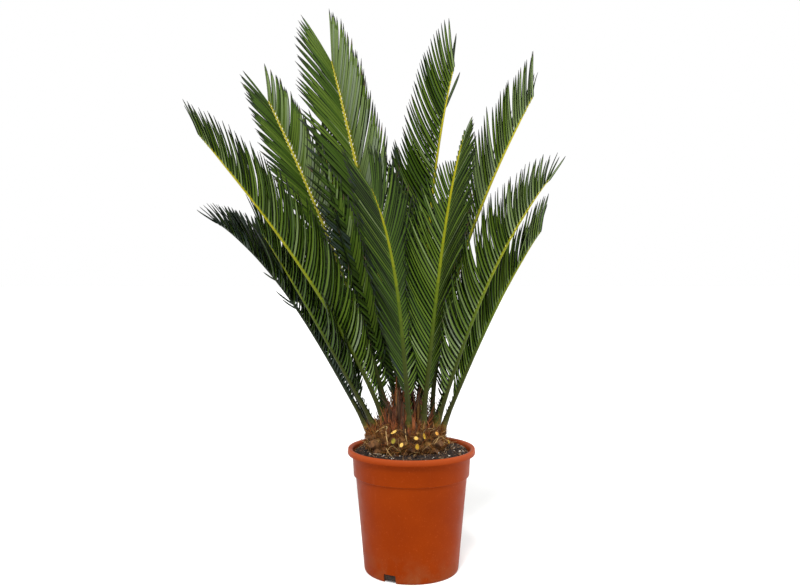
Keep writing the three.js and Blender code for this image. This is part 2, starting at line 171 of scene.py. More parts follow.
# %% Frond sizes
LEAFLET = {"shortest": 0.16, "least": 0.06, "widest_at": 0.42, "angle": 62, "angle_fall": 14,
           "mean_turn": 0.91, "droop": 20}


def frond_of(place, azimuth, lean, length, foot, bend=1.0, roll=0, leaf=108, **looks):
    """One frond's sizes by name. Its leaflets have a pitch, a share of the full spread and width,
    and a closing towards the tip (degrees, and a power that keeps it to the last few). Pairs are
    for the two rows: how long their last leaflets are, how far each is raised, how it bows forward
    and how light it is painted, a painted light and shade for how that row is lit. The rest is how
    much darker the inner leaflets are painted, a painted shade deep in the crown, how yellow the
    rib is, the heels (dark, pale, or long in the right row), and stray leaflets (share of the blade,
    angle, lift and length)."""
    usual = {"pitch": 7.2, "spread": 0.82, "wide": 1.0, "tips": (0.66, 0.66), "closing": (18, 10),
             "lifts": (44, 44), "bows": (0.42, 0.42), "light": (-0.5, -0.5), "inner": 0.6,
             "yellowing": 1.0, "heels": "dark", "strays": ()}
    return {"name": "frond_" + place, "azimuth": azimuth, "lean": lean, "length": length, "foot": foot,
            "bend": bend, "roll": roll, "leaf": leaf, **usual, **looks}


# light pairs paint each row lighter or darker, a painted light and shade for how it is lit; inner paints the
# inner leaflets darker, a painted shade deep in the crown.
FRONDS = [
    frond_of("left_upper", 190, (16, 41), 559, (32, 200), bend=0.5, leaf=130, pitch=7.6, wide=1.45,
             closing=(16, 6), tips=(0.46, 0.46), bows=(0.5, 0.5), light=(0.6, 0.2), inner=0),
    frond_of("left_low", 168, (31, 57), 449, (60, 166), bend=2.6, leaf=112, pitch=7.6, wide=1.8,
             closing=(44, 30), tips=(0.4, 0.4), bows=(0.8, 0.8), light=(-1.9, -1.9),
             strays=((0.62, 24, -75, 34), (0.48, 24, -75, 48), (0.455, 30, -70, 38))),
    frond_of("left_middle", 177, (30, 35), 378, (46, 183), bend=4, leaf=112, bows=(0.8, 0.8),
             wide=1.2, light=(-0.3, -0.3), yellowing=0.8),
    frond_of("back_left", 138, (11, 34), 672, (35, 140), bend=0.3, roll=-45, leaf=117, pitch=9.5,
             wide=1.25, tips=(0.76, 0.7), bows=(0.1, 1), light=(0.1, 1.2), inner=1.4, heels="long"),
    frond_of("tall_left", 122, (6, 26), 720, (31, 101), bend=0.3, roll=-42, leaf=156, pitch=9.5,
             wide=1.25, tips=(0.78, 0.72), bows=(0, 0.85), light=(-0.4, 2.3), inner=1.4, heels="long"),
    frond_of("front_left", 240, (8, 42), 398, (36.5, 280), bend=2.7, leaf=116, spread=0.74,
             lifts=(70, 15), bows=(0.7, 0.3), light=(0.1, -0.4), inner=0),
    frond_of("front_right", 310, (9, 24), 475, (35, 315), bend=4, leaf=118, spread=0.62,
             pitch=8.0, tips=(0.25, -0.5), lifts=(5, 30), bows=(-0.1, 0.3), light=(0.6, 0.5), inner=0),
    frond_of("tall_right", 48, (0, 20), 628, (40, 48), bend=1.5, roll=-75, leaf=118, pitch=9.0,
             wide=1.5, spread=0.74, closing=(16, 12), tips=(0.84, 0.84), light=(-1.1, 0.4)),
    frond_of("right_upper", 22, (-11, 31), 605, (44, 15), bend=0.4, roll=-45, leaf=120, pitch=9.0,
             wide=1.5, spread=0.68, closing=(0, 1), tips=(0.7, 0.7), bows=(0.2, 0.2), light=(0.0, 1.6)),
    frond_of("right_middle", 355, (18, 38), 448, (46, 345), bend=2, roll=-5, leaf=116, pitch=7.8,
             wide=1.5, spread=0.9, closing=(44, 40), tips=(0.42, 0.42), bows=(0.4, 0.4),
             light=(-0.2, 0.8), inner=0, heels="pale"),
    frond_of("right_low", 15, (25, 37), 377, (55, 2), bend=2.2, roll=-25, leaf=100, pitch=7.4,
             wide=1.4, spread=0.66, closing=(0, 1), tips=(0.7, 0.7), light=(-0.4, 0.4), inner=0),
    frond_of("back_middle", 95, (8, 22), 450, (28, 68), leaf=104),
    frond_of("back_tall", 128, (17, 28), 555, (52, 128), leaf=104),
    frond_of("back_right", 72, (20, 46), 440, (54, 72), leaf=104),
    frond_of("back_arched", 105, (24, 52), 450, (58, 104), leaf=104),
    frond_of("back_low_left", 142, (30, 56), 395, (68, 146), leaf=100),
    frond_of("back_low_right", 50, (28, 50), 340, (64, 44), leaf=96),
    frond_of("back_low", 88, (34, 60), 370, (68, 88), leaf=100),
]
RIB = {"base_width": 13, "base_depth": 10, "stalk_width": 8.5, "stalk_depth": 7.5, "stalk_at": 40,
       "tip_width": 2.8, "tip_depth": 2.6, "edge_at_foot": 2.4, "edge_at_tip": 1.5, "steps": 120}
BLADE_START = 56
print("fronds:", len(FRONDS), "longest", max(frond["length"] for frond in FRONDS), "mm")

# %% [markdown]
# ## The pot
# A nursery pot is moulded in one piece: a tapering cup, a wider collar above a small step, and a
# turned-over rim. A turned shape is made by spinning half of its outline about the axis. Its
# sharp corners are then bevelled, which gives the soft edges that catch the light. The drain
# slots are cut last, with a Boolean, because they don't run round the pot.


# %% Helpers for turned shapes
def turned(outline, steps):
    """A bmesh turned about Z from (radius, height) pairs in mm that start and end on the axis."""
    bm = bmesh.new()
    verts = [bm.verts.new((radius * MM, 0, height * MM)) for radius, height in outline]
    edges = [bm.edges.new(pair) for pair in zip(verts, verts[1:])]
    bmesh.ops.spin(bm, geom=verts + edges, cent=(0, 0, 0), axis=(0, 0, 1), angle=math.tau,
                   steps=steps, use_merge=True)
    bmesh.ops.remove_doubles(bm, verts=bm.verts, dist=1e-6)
    bmesh.ops.recalc_face_normals(bm, faces=bm.faces)
    return bm


def ring_edges(bm, radius, height):
    """The edges of the circle that an outline's corner was turned into."""
    def on_ring(vert):
        return (abs(math.hypot(vert.co.x, vert.co.y) - radius * MM) < 2e-5
                and abs(vert.co.z - height * MM) < 2e-5)
    return [edge for edge in bm.edges if all(on_ring(vert) for vert in edge.verts)]


def bevel(bm, edges, offset, segments, clamped=False):
    """Rounds edges off, by an offset in the mesh's own unit."""
    bmesh.ops.bevel(bm, geom=edges, offset=offset, offset_type="OFFSET", segments=segments,
                    profile=0.5, affect="EDGES", material=-1, clamp_overlap=clamped)


def round_rings(bm, rings, offset, segments):
    """Bevels whole rings of edges, given as (radius, height) in mm."""
    edges = [edge for ring in rings for edge in ring_edges(bm, *ring)]
    bevel(bm, edges, offset * MM, segments, clamped=True)


def smooth(mesh, degrees):
    """Shades a mesh smooth, with creases kept where faces meet more sharply than this."""
    mesh.shade_smooth()
    mesh.set_sharp_from_angle(angle=math.radians(degrees))


def inside_wall(gap=0.0):
    """The inside of the pot's wall from the rim's foot down to the base, moved in by a gap."""
    return [(POT["collar_top"] - POT["wall"] - gap, POT["height"] - POT["rim_height"]),
            (POT["collar_foot"] - POT["wall"] - gap, POT["waist_height"] + POT["half_step"]),
            (POT["waist"] - POT["wall"] - gap, POT["waist_height"] - POT["half_step"]),
            (POT["foot"] - POT["wall"] - gap, POT["base"] + gap)]


# %% Turn the pot
ROUND_STEPS = 160
rim_foot = POT["height"] - POT["rim_height"]
foot_corner = (POT["foot"], POT["foot_height"])
collar_corners = [(POT["waist"], POT["waist_height"]),
                  (POT["collar_foot"], POT["waist_height"] + POT["half_step"]),
                  (POT["collar_top"], rim_foot)]
rim_corner = (POT["rim"], rim_foot + 1.5)
# The rim's top slopes down into the mouth.
lip_corners = [(POT["rim"] - 0.8, POT["height"]), (POT["mouth"], POT["height"] - POT["lip_fall"])]
pot_outline = [(0, POT["hollow_height"]), (POT["hollow"], POT["hollow_height"]), (POT["hollow"] + 2, 0),
               (POT["foot"] - 1.5, 0), foot_corner, *collar_corners, (POT["rim"] - 0.6, rim_foot),
               rim_corner, *lip_corners, (POT["mouth"] - 0.6, POT["height"] - 5), *inside_wall(),
               (0, POT["base"])]
bm = turned(pot_outline, ROUND_STEPS)
round_rings(bm, lip_corners, offset=2.2, segments=4)
round_rings(bm, [rim_corner, foot_corner], offset=0.9, segments=2)
round_rings(bm, collar_corners, offset=0.45, segments=2)
pot = new_object("pot_shell", mesh_of(bm, "pot_shell"))
print("pot faces:", len(pot.data.polygons))


# %% Cut the drain slots
def cut_away(obj, cutter):
    """Subtracts the cutter from obj for good and removes it."""
    cut = obj.modifiers.new("cut", "BOOLEAN")
    cut.object, cut.operation, cut.solver = cutter, "DIFFERENCE", "EXACT"
    result = obj.evaluated_get(bpy.context.evaluated_depsgraph_get())
    mesh = bpy.data.meshes.new_from_object(result)
    obj.modifiers.remove(cut)
    obj.data = mesh
    bpy.data.objects.remove(cutter)


def rotation(degrees, axis):
    """A turn about one axis, as a 4 x 4 matrix."""
    return Matrix.Rotation(math.radians(degrees), 4, axis)


bm = bmesh.new()
middle = (DRAIN["from"] + DRAIN["to"]) / 2 * MM
size = Matrix.Diagonal(((DRAIN["to"] - DRAIN["from"]) * MM, DRAIN["width"] * MM,
                        2 * DRAIN["height"] * MM, 1))
for number in range(DRAIN["count"]):
    turn = rotation(DRAIN["first"] + 360 / DRAIN["count"] * number, "Z")
    block = bmesh.ops.create_cube(bm, size=1)["verts"]
    bmesh.ops.transform(bm, verts=block, matrix=turn @ Matrix.Translation((middle, 0, 0)) @ size)
bevel(bm, bm.edges[:], offset=1.2 * MM, segments=3)
cut_away(pot, new_object("drain_cutter", mesh_of(bm, "drain_cutter")))
smooth(pot.data, 32)
print("pot faces after the slots:", len(pot.data.polygons))

# %% [markdown]
# The plastic is an orange-brown with a satin skin. Up close it is never one colour: the pigment
# is a little uneven, handling leaves faint scuffs, and watering leaves dust and soil low down. The
# rim is paler, a painted highlight where its lip catches the light. Each of these is a noise or a
# mask by height that is mixed in, all on Object coordinates, so that the pattern stays on the pot.


# %% Node helpers
def nodes_of(material):
    """The material's node tree, its shader and a function that adds a linked node to it."""
    tree = material.node_tree
    shader = tree.nodes["Principled BSDF"]

    def add(kind, inputs=None, **settings):
        node = tree.nodes.new("ShaderNode" + kind)
        for setting, value in settings.items():
            setattr(node, setting, value)
        for socket, value in (inputs or {}).items():
            if isinstance(value, bpy.types.NodeSocket):
                tree.links.new(value, node.inputs[socket])
            else:
                node.inputs[socket].default_value = value
        return node
    return tree, shader, add


def grain(add, scale, detail=4.0, stretch=(1, 1, 1), coordinate="Object"):
    """A noise on the piece's own coordinates, as a value from 0 to 1."""
    place = add("TexCoord").outputs[coordinate]
    place = add("Mapping", {"Vector": place, "Scale": stretch}).outputs["Vector"]
    sockets = {"Vector": place, "Scale": scale, "Detail": detail, "Roughness": 0.55}
    return add("TexNoise", sockets).outputs["Fac"]


def ramp(add, value, *stops):
    """The value through a colour ramp with (position, colour) stops."""
    node = add("ValToRGB", {"Fac": value})
    ends = node.color_ramp.elements
    for index, (position, colour) in enumerate(stops):
        stop = ends[index] if index < 2 else ends.new(position)
        stop.position, stop.color = position, colour
    return node.outputs["Color"]


def blended(add, share, first, second):
    """Two colours mixed by a share from 0 to 1."""
    node = add("Mix", data_type="RGBA")
    for socket, value in zip((node.inputs[0], node.inputs[6], node.inputs[7]),
                             (share, first, second)):
        if isinstance(value, bpy.types.NodeSocket):
            node.id_data.links.new(value, socket)
        else:
            socket.default_value = value
    return node.outputs[2]


def times(add, first, second):
    """The product of two values."""
    return add("Math", {0: first, 1: second}, operation="MULTIPLY").outputs[0]


def bumped(tree, shader, add, height, strength, distance):
    """Raises the surface by a value."""
    bump = add("Bump", {"Height": height, "Strength": strength, "Distance": distance * MM})
    tree.links.new(bump.outputs["Normal"], shader.inputs["Normal"])


def grey(value):
    """A grey, as a ramp's colour."""
    return (value, value, value, 1)


def height_mask(add, low, high):
    """0 at the height low and 1 at the height high, both in mm, whichever of them is above."""
    place = add("TexCoord").outputs["Object"]
    up = add("SeparateXYZ", {"Vector": place}).outputs["Z"]
    sockets = {"Value": up, "From Min": low * MM, "From Max": high * MM}
    return add("MapRange", sockets).outputs["Result"]


def grained(name, colour, roughness, pattern, stops, relief, strength, distance):
    """A material whose colour is one noise through a ramp and whose relief is another; pattern and
    relief are what grain takes."""
    material = painted(name, colour, roughness)
    tree, shader, add = nodes_of(material)
    base = ramp(add, grain(add, **pattern), *stops)
    tree.links.new(base, shader.inputs["Base Color"])
    bumped(tree, shader, add, grain(add, **relief), strength, distance)
    return material


# %% Pot plastic
def pot_plastic():
    """Orange-brown, with speckles, scuffs, dust at the foot, and a paler rim that is a painted highlight."""
    material = painted("pot_plastic", tone(127, 47, 5), 0.45, Specular_IOR_Level=0.08, IOR=1.32)
    tree, shader, add = nodes_of(material)
    base = ramp(add, grain(add, 14, detail=5), (0.3, tone(124, 46, 2)), (0.7, tone(134, 52, 5)))
    speckle = ramp(add, grain(add, 420, detail=2), (0.62, grey(0)), (0.72, grey(0.35)))
    base = blended(add, speckle, base, tone(168, 78, 40))
    scuff = grain(add, 60, detail=6, stretch=(1, 1, 0.12))
    scuff = ramp(add, scuff, (0.64, grey(0)), (0.74, grey(0.22)))
    base = blended(add, scuff, base, tone(172, 92, 58))
    dust = ramp(add, grain(add, 45), (0.4, grey(0)), (0.75, grey(0.6)))
    dust = times(add, height_mask(add, 55, 4), dust)
    base = blended(add, dust, base, tone(126, 78, 50))
    # The rim's paler band is a painted highlight, where the lip catches the light.
    rim = times(add, height_mask(add, 190, 198), 0.42)
    base = blended(add, rim, base, tone(180, 88, 52))
    tree.links.new(base, shader.inputs["Base Color"])
    rough = ramp(add, grain(add, 30, detail=6), (0.35, grey(0.36)), (0.7, grey(0.52)))
    tree.links.new(rough, shader.inputs["Roughness"])
    bumped(tree, shader, add, grain(add, 700, detail=3), 0.12, 0.25)
    return material


pot.data.materials.append(pot_plastic())
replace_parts(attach(pot, "root"), "pot")
print("pot box:", [round(x, 4) for x in pot.dimensions])

# %% [markdown]
# ## Small things in great number
# Leaflets, hairs, fibres, crumbs and scales are each too many to model one by one. Two helpers
# make them as joined meshes from arrays. The first, for anything long and thin, draws an outline
# through the rings of every strand at once. The second sets down turned and scaled copies of a
# small shape. Copies could also be instanced objects, but an exported model loses instances.


# %% Strands
def strands(name, centres, across, up, outline, tones, materials):
    """Many small closed strands in one mesh. centres, across and up are count x rings x 3: each
    ring's middle and its half width and thickness. outline is the section, anticlockwise in
    (across, up), and tones the material of each strand between its rings, count x (rings - 1), with
    a further axis where the sides of the section differ."""
    section = np.array(outline, float)
    count, rings, sides = *centres.shape[:2], len(section)
    corners = (centres[:, :, None] + across[:, :, None] * section[:, :1]
               + up[:, :, None] * section[:, 1:]) * MM
    number = np.arange(count * rings * sides).reshape(count, rings, sides)
    beside = np.roll(number, -1, axis=2)
    walls = np.stack([number[:, :-1], beside[:, :-1], beside[:, 1:], number[:, 1:]], axis=-1)
    caps = [*number[:, 0, ::-1].tolist(), *number[:, -1].tolist()]
    mesh = bpy.data.meshes.new(name)
    mesh.from_pydata(corners.reshape(-1, 3).tolist(), [], walls.reshape(-1, 4).tolist() + caps)
    if tones.ndim == 2:
        tones = np.repeat(tones[..., None], sides, axis=2)
    mesh.polygons.foreach_set("material_index", [*tones.reshape(-1), *tones[:, 0, 0], *tones[:, -1, 0]])
    steps = np.arange(sides)[:, None] + [0, 1, 1, 0]
    share = np.arange(rings - 1)[:, None] + [0, 0, 1, 1]
    places = np.empty((count, rings - 1, sides, 4, 2))
    places[..., 0], places[..., 1] = steps / sides, share[:, None] / (rings - 1)
    layer = mesh.uv_layers.new(name="along_the_strand")
    on_caps = np.full(2 * 2 * count * sides, 0.5)
    layer.data.foreach_set("uv", np.concatenate([places.reshape(-1), on_caps]))
    smooth(mesh, 42)
    return new_object(name, mesh, *materials)


def unit(vectors):
    """Vectors brought to length one."""
    return vectors / np.linalg.norm(vectors, axis=-1, keepdims=True)


def turned_about(vector, axis, angle):
    """Vectors turned about unit axes that they are square to, by angles in radians."""
    angle = angle[..., None]
    return vector * np.cos(angle) + np.cross(axis, vector) * np.sin(angle)


def around_axis(radius, turn, height, aside=0.0):
    """Points about an upright axis, at angles in radians, moved aside in X."""
    return np.stack([radius * np.cos(turn) + aside, radius * np.sin(turn), height], -1)


def even_radii(rng, inner, outer, count):
    """Random radii that fill a ring evenly."""
    return np.sqrt(rng.uniform(inner ** 2, outer ** 2, count))


def dealt_tones(rng, count, rings, kinds, odds=None):
    """A random tone for each strand, the same between all its rings."""
    return np.repeat(rng.choice(kinds, (count, 1), p=odds), rings - 1, axis=1)


# %% Copies
def copies(name, shape, matrices, tones, materials, rough, seed):
    """One mesh of a small bmesh shape set down by each 4 x 4 matrix (in mm), in a given tone.
    rough moves each corner at random, as a share of the shape's own size."""
    rng = np.random.default_rng(seed)
    shape.verts.index_update()
    verts = np.array([vert.co[:] for vert in shape.verts])
    faces = [[vert.index for vert in face.verts] for face in shape.faces]
    shape.free()
    local = verts + rng.normal(0, rough, (len(matrices), *verts.shape))
    placed = np.einsum("nij,nvj->nvi", matrices[:, :3, :3], local)
    placed = (placed + matrices[:, None, :3, 3]) * MM
    offsets = range(0, len(matrices) * len(verts), len(verts))
    mesh = bpy.data.meshes.new(name)
    mesh.from_pydata(placed.reshape(-1, 3).tolist(), [],
                     [[index + offset for index in face] for offset in offsets for face in faces])
    mesh.polygons.foreach_set("material_index", np.repeat(tones, len(faces)))
    return new_object(name, mesh, *materials)


def random_turns(rng, count):
    """Random rotations as 3 x 3 matrices."""
    first = unit(rng.normal(size=(count, 3)))
    second = unit(np.cross(first, rng.normal(size=(count, 3))))
    return np.stack([first, second, np.cross(first, second)], axis=-1)


def placed_at(places, turns, sizes):
    """4 x 4 matrices from places, turns and sizes along the shape's own axes."""
    matrices = np.tile(np.eye(4), (len(places), 1, 1))
    matrices[:, :3, :3] = turns * sizes[:, None, :]
    matrices[:, :3, 3] = places
    return matrices


print("helpers ready")

# %% [markdown]
# ## The potting mix
# The pot is filled to just under its rim with dark, loose, slightly fibrous mix. The bed is a
# turned solid that fills the pot as its CAD node does, with its top pushed up and down by noise.
# On it lie crumbs of peat and bark, some pale flecks of grit, and thin twigs and roots.


# %% Soil bed
def heaped(radius):
    """How far the loose mix is heaped above the bed, in mm, at a radius."""
    return np.interp(radius, [46, 68, 87, 94], [9, 9, 8.5, 6])


def soil_bed():
    """The mix in the pot, with enough rings in its top for noise to push them up and down."""
    rings, roughness, under_trunk = 9, 1.9, 44
    wall = inside_wall(SOIL["gap"])
    (top_radius, top_height), (low_radius, low_height) = wall[:2]
    share = (SOIL["edge"] - low_height) / (top_height - low_height)
    edge = low_radius + (top_radius - low_radius) * share
    slope = [(edge + (SOIL["level"] - edge) * ring / rings,
              SOIL["edge"] + (SOIL["top"] - SOIL["edge"]) * ring / rings) for ring in range(rings)]
    middle = [(radius, SOIL["top"]) for radius in (*range(SOIL["level"], under_trunk, -4), 0)]
    bm = turned([(0, POT["base"] + SOIL["gap"]), *wall[:0:-1], *slope, *middle], ROUND_STEPS)
    for vert in bm.verts:
        radius = math.hypot(vert.co.x, vert.co.y) / MM
        if vert.co.z > (SOIL["edge"] - 0.5) * MM and under_trunk < radius < edge - 1:
            bump = noise.fractal(vert.co * 130, 0.8, 2.1, 4)
            vert.co.z += roughness * MM * bump + heaped(radius) * MM
    mesh = mesh_of(bm, "soil_bed")
    smooth(mesh, 50)
    return new_object("soil_bed", mesh)


def soil_mix():
    """Damp mix: nearly black, with brown and tan grains."""
    stops = [(0.35, tone(20, 15, 12)), (0.6, tone(52, 38, 28)), (0.72, tone(84, 64, 46))]
    return grained("potting_mix", tone(40, 30, 24), 0.95, {"scale": 160, "detail": 8}, stops,
                   {"scale": 320, "detail": 8}, strength=0.9, distance=1.2)


bed = soil_bed()
bed.data.materials.append(soil_mix())
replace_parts(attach(bed, "root"), "soil")
print("soil bed faces:", len(bed.data.polygons))


# %% Crumbs, grit and bark
def on_soil(rng, count, outer, lift):
    """Random places on the bed between the trunk and a radius, in mm."""
    radius = even_radii(rng, 50, outer, count)
    turn = rng.uniform(0, math.tau, count)
    fall = np.clip((radius - SOIL["level"]) / (SOIL["reach"] - SOIL["level"]), 0, 1)
    height = SOIL["top"] - (SOIL["top"] - SOIL["edge"]) * fall + heaped(radius)
    return around_axis(radius, turn, height + lift)


def crumb_shape():
    """A ball of 20 faces."""
    bm = bmesh.new()
    bmesh.ops.create_icosphere(bm, subdivisions=1, radius=1)
    return bm


def bark_shape():
    """A block with a cut through its middle each way and all its edges bevelled."""
    bm = bmesh.new()
    bmesh.ops.create_cube(bm, size=1)
    bmesh.ops.subdivide_edges(bm, edges=bm.edges[:], cuts=1, use_grid_fill=True)
    bevel(bm, bm.edges[:], offset=0.04, segments=1)
    return bm


CRUMBS, CHIPS, TWIGS = 3200, 220, 150
crumb_tones = [painted("crumb_black", tone(26, 20, 17), 0.95), painted("crumb_dark", tone(44, 32, 25), 0.95),
               painted("crumb_brown", tone(72, 52, 38), 0.9), painted("crumb_tan", tone(116, 90, 66), 0.9),
               painted("grit_pale", tone(196, 188, 176), 0.8)]
rng = np.random.default_rng(11)
sizes = rng.uniform(0.5, 1.0, (CRUMBS, 1))
sizes = sizes * rng.choice([1.2, 1.8, 3.0], (CRUMBS, 1), p=[0.5, 0.38, 0.12])
sizes = sizes * rng.uniform(0.6, 1.25, (CRUMBS, 3))
dealt = rng.choice(5, CRUMBS, p=[0.42, 0.32, 0.16, 0.07, 0.03])
matrices = placed_at(on_soil(rng, CRUMBS, 93, lift=0.4), random_turns(rng, CRUMBS), sizes)
crumbs = copies("soil_crumbs", crumb_shape(), matrices, dealt, crumb_tones, rough=0.16, seed=12)
sizes = np.stack([rng.uniform(3, 7.5, CHIPS), rng.uniform(1.6, 4, CHIPS), rng.uniform(0.8, 1.8, CHIPS)], -1)
flat = random_turns(rng, CHIPS)
flat[:, 2] *= 0.35
matrices = placed_at(on_soil(rng, CHIPS, 91, lift=0.9), np.linalg.qr(flat)[0], sizes)
dealt = rng.choice([1, 2, 3], CHIPS, p=[0.5, 0.36, 0.14])
chips = copies("bark_chips", bark_shape(), matrices, dealt, crumb_tones, rough=0.05, seed=13)
for piece in (crumbs, chips):
    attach(piece, "root")
print("crumbs:", CRUMBS, "bark chips:", CHIPS)


# %% Twigs and roots on the soil
def bent_paths(starts, heading, axis, bend, lengths, rings):
    """Paths that set out along unit headings and turn about an axis by a bend at each ring."""
    places = [starts]
    for _ in range(rings - 1):
        places.append(places[-1] + heading * (lengths / (rings - 1))[:, None])
        heading = turned_about(heading, axis, bend)
    return np.stack(places, axis=1)


def wandering(rng, starts, headings, lengths, rings, curl):
    """Paths that set out along their headings and bend steadily to one side."""
    heading = unit(headings)
    axis = unit(np.cross(heading, rng.normal(size=heading.shape)))
    bend = rng.normal(0, curl, len(starts)) / (rings - 1)
    return bent_paths(starts, heading, axis, bend, lengths, rings)


def round_section(paths, radii):
    """Across and up for a round strand whose radius is given at each ring."""
    along = unit(np.gradient(paths, axis=1))
    side = unit(np.cross(along, along[:, :1] + [0.31, 0.17, 0.93]))
    return side * radii[..., None], np.cross(along, side) * radii[..., None]


def polygon(sides):
    """A regular section."""
    turns = np.arange(sides) * math.tau / sides
    return np.stack([np.cos(turns), np.sin(turns)], axis=1)


def round_strands(name, paths, thickness, taper, sides, tones, materials):
    """Round strands of a thickness each, thinned along their length by the taper."""
    radii = thickness[:, None] / 2 * np.asarray(taper)[None]
    across, up = round_section(paths, radii)
    return strands(name, paths, across, up, polygon(sides), tones, materials)


rng = np.random.default_rng(21)
taper, inside_pot = [1, 1, 0.95, 0.85, 0.7, 0.45], 94
starts = on_soil(rng, TWIGS, 91, lift=0.8)
level = np.stack([rng.normal(size=TWIGS), rng.normal(size=TWIGS), rng.uniform(-0.02, 0.22, TWIGS)], -1)
paths = wandering(rng, starts, level, rng.uniform(5, 17, TWIGS), len(taper), 0.9)
paths[..., :2] *= np.minimum(1, inside_pot / np.linalg.norm(paths[..., :2], axis=-1))[..., None]
twig_tones = [painted("twig_brown", tone(84, 60, 42), 0.9), painted("twig_tan", tone(150, 120, 88), 0.85),
              painted("root_pale", tone(188, 168, 138), 0.8)]
dealt = dealt_tones(rng, TWIGS, len(taper), 3, [0.5, 0.34, 0.16])
twigs = round_strands("soil_twigs", paths, rng.uniform(0.35, 1.1, TWIGS), taper, 5, dealt, twig_tones)
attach(twigs, "root")
print("twigs:", TWIGS)

# %% [markdown]
# ## The trunk
# A young sago palm's trunk is a squat barrel built of old leaf bases. Each base is a woody lozenge
# that slants out and up, set in rows, and brown wool and dead fibres fill the space between them.
# The core is turned like the pot and roughened by noise. The bases are short cones, subdivided
# and swollen a little, with the cut end inset. A few cut ends are fresh: cream, orange, yellow or
# olive.


# %% Trunk core
def trunk_radius(height):
    """The trunk's outline: its radius at a height above the soil."""
    radii, heights = zip(*TRUNK_OUTLINE[:-1])
    return np.interp(height, heights, radii)


BARK_SUNK, LUMP_HEIGHT = 2.5, 3.0  # the bark lies a little inside the outline, and lumps raise it
bark = [(float(trunk_radius(height)) - BARK_SUNK, TRUNK_FOOT + height)
        for height in np.linspace(0, TRUNK_HEIGHT, 28)]
top = TRUNK_FOOT + TRUNK_HEIGHT
bm = turned([(0, TRUNK_FOOT), *bark, (12, top + 1), (0, top + 1.5)], 128)
for vert in bm.verts:
    if vert.co.z > (TRUNK_FOOT + 1) * MM:
        outward = Vector((vert.co.x, vert.co.y, (vert.co.z - 0.2) * 0.6)).normalized()
        lumps = noise.fractal(vert.co * 55, 0.9, 2.0, 3) + 0.45 * noise.fractal(vert.co * 210, 0.9, 2.0, 3)
        vert.co += outward * LUMP_HEIGHT * MM * lumps
    vert.co.x += TRUNK_ASIDE * MM
core_mesh = mesh_of(bm, "trunk_core")
smooth(core_mesh, 60)


def trunk_bark():
    """Rough brown bark, its grain drawn out upwards."""
    stops = [(0.3, tone(40, 26, 14)), (0.5, tone(84, 54, 28)), (0.7, tone(122, 84, 48))]
    return grained("trunk_bark", tone(104, 72, 46), 0.92,
                   {"scale": 95, "detail": 8, "stretch": (1, 1, 0.5)}, stops,
                   {"scale": 520, "detail": 6, "stretch": (1, 1, 0.25)}, strength=0.8, distance=0.9)


core = new_object("trunk_core", core_mesh, trunk_bark())
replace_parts(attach(core, "root"), "caudex")
print("trunk core faces:", len(core_mesh.polygons))


# %% Old leaf bases
def leaf_base(whole, matrix, half_width, half_thick, length, skin, end, rng, lozenge=0.17, taper=0.36):
    """Adds a woody stub to a bmesh, from the matrix's origin along its Z, with an inset cut end."""
    bm = bmesh.new()
    bmesh.ops.create_cone(bm, cap_ends=True, segments=14, radius1=1, radius2=1, depth=1)
    uprights = [edge for edge in bm.edges if abs(edge.verts[0].co.z - edge.verts[1].co.z) > 0.5]
    bmesh.ops.subdivide_edges(bm, edges=uprights, cuts=3, use_grid_fill=True)
    cut = [face for face in bm.faces if all(vert.co.z > 0.49 for vert in face.verts)]
    for face in bm.faces:
        face.material_index, face.smooth = skin, True
    bmesh.ops.inset_individual(bm, faces=cut, thickness=0.16, depth=-0.05)
    cut[0].material_index = end
    slant, seed = rng.uniform(-0.35, 0.35), Vector(rng.uniform(0, 50, 3))
    # The stub swells in its middle, narrows towards the cut, and is a lozenge in section.
    for vert in bm.verts:
        share = vert.co.z + 0.5
        turn = math.atan2(vert.co.y, vert.co.x)
        swell = (1 + 0.16 * math.sin(math.pi * min(1, share * 1.3)) - taper * share ** 2)
        swell *= 1 - lozenge * abs(math.sin(2 * turn)) + 0.16 * noise.noise(vert.co * 1.6 + seed)
        across, through = vert.co.x * half_width * swell, vert.co.y * half_thick * swell
        along = length * share + slant * share * across
        vert.co = (matrix @ Vector((across, through, along))) * MM
    made = mesh_of(bm, "one_base")
    whole.from_mesh(made)
    bpy.data.meshes.remove(made)


def outward_at(azimuth, height, tilt, roll=0.0, sunk=7.0):
    """A matrix on the trunk's skin whose Z slants up and out, its Y up the trunk."""
    turn = (Matrix.Translation((TRUNK_ASIDE, 0, TRUNK_FOOT + height)) @ rotation(azimuth, "Z")
            @ Matrix.Translation((float(trunk_radius(height)), 0, 0)))
    stand = rotation(90 - tilt, "Y") @ rotation(90 + roll, "Z")
    return turn @ stand @ Matrix.Translation((0, 0, -sunk))


# Rows of bases: height on the trunk, how many stand in the row, and how far they tilt up.
BASE_ROWS = [(3, 19, 6), (11, 18, 20), (19.5, 18, 27), (28, 17, 36), (36, 15, 46), (43.5, 12, 60)]
# Swollen bases in two clusters in front: azimuth, height and size.
SWOLLEN = [(220, 23, 12), (226, 12, 8), (320, 25, 11), (314, 13, 8), (205, 30, 8)]
# Fresh cuts: azimuth, height, half width, half height, roll, and which of the four fresh tones.
FRESH_CUTS = [(252, 43, 9.0, 3.0, 32, 0), (264, 26, 3.8, 5.4, -26, 0), (283, 35, 5.2, 4.0, -8, 0),
              (284, 23, 4.4, 6.4, -8, 2), (295, 37, 3.6, 7.0, 4, 2), (318, 38, 4.0, 4.6, -20, 1),
              (253, 31, 5.5, 6.0, 10, 3), (68, 34, 8, 3.4, 24, 0), (121, 24, 4.4, 5, -15, 1),
              (165, 38, 4.2, 5, 10, 2), (20, 28, 5, 4.2, 0, 1), (345, 21, 4.2, 5, -12, 2)]
FRESH_LENGTH = 15.5
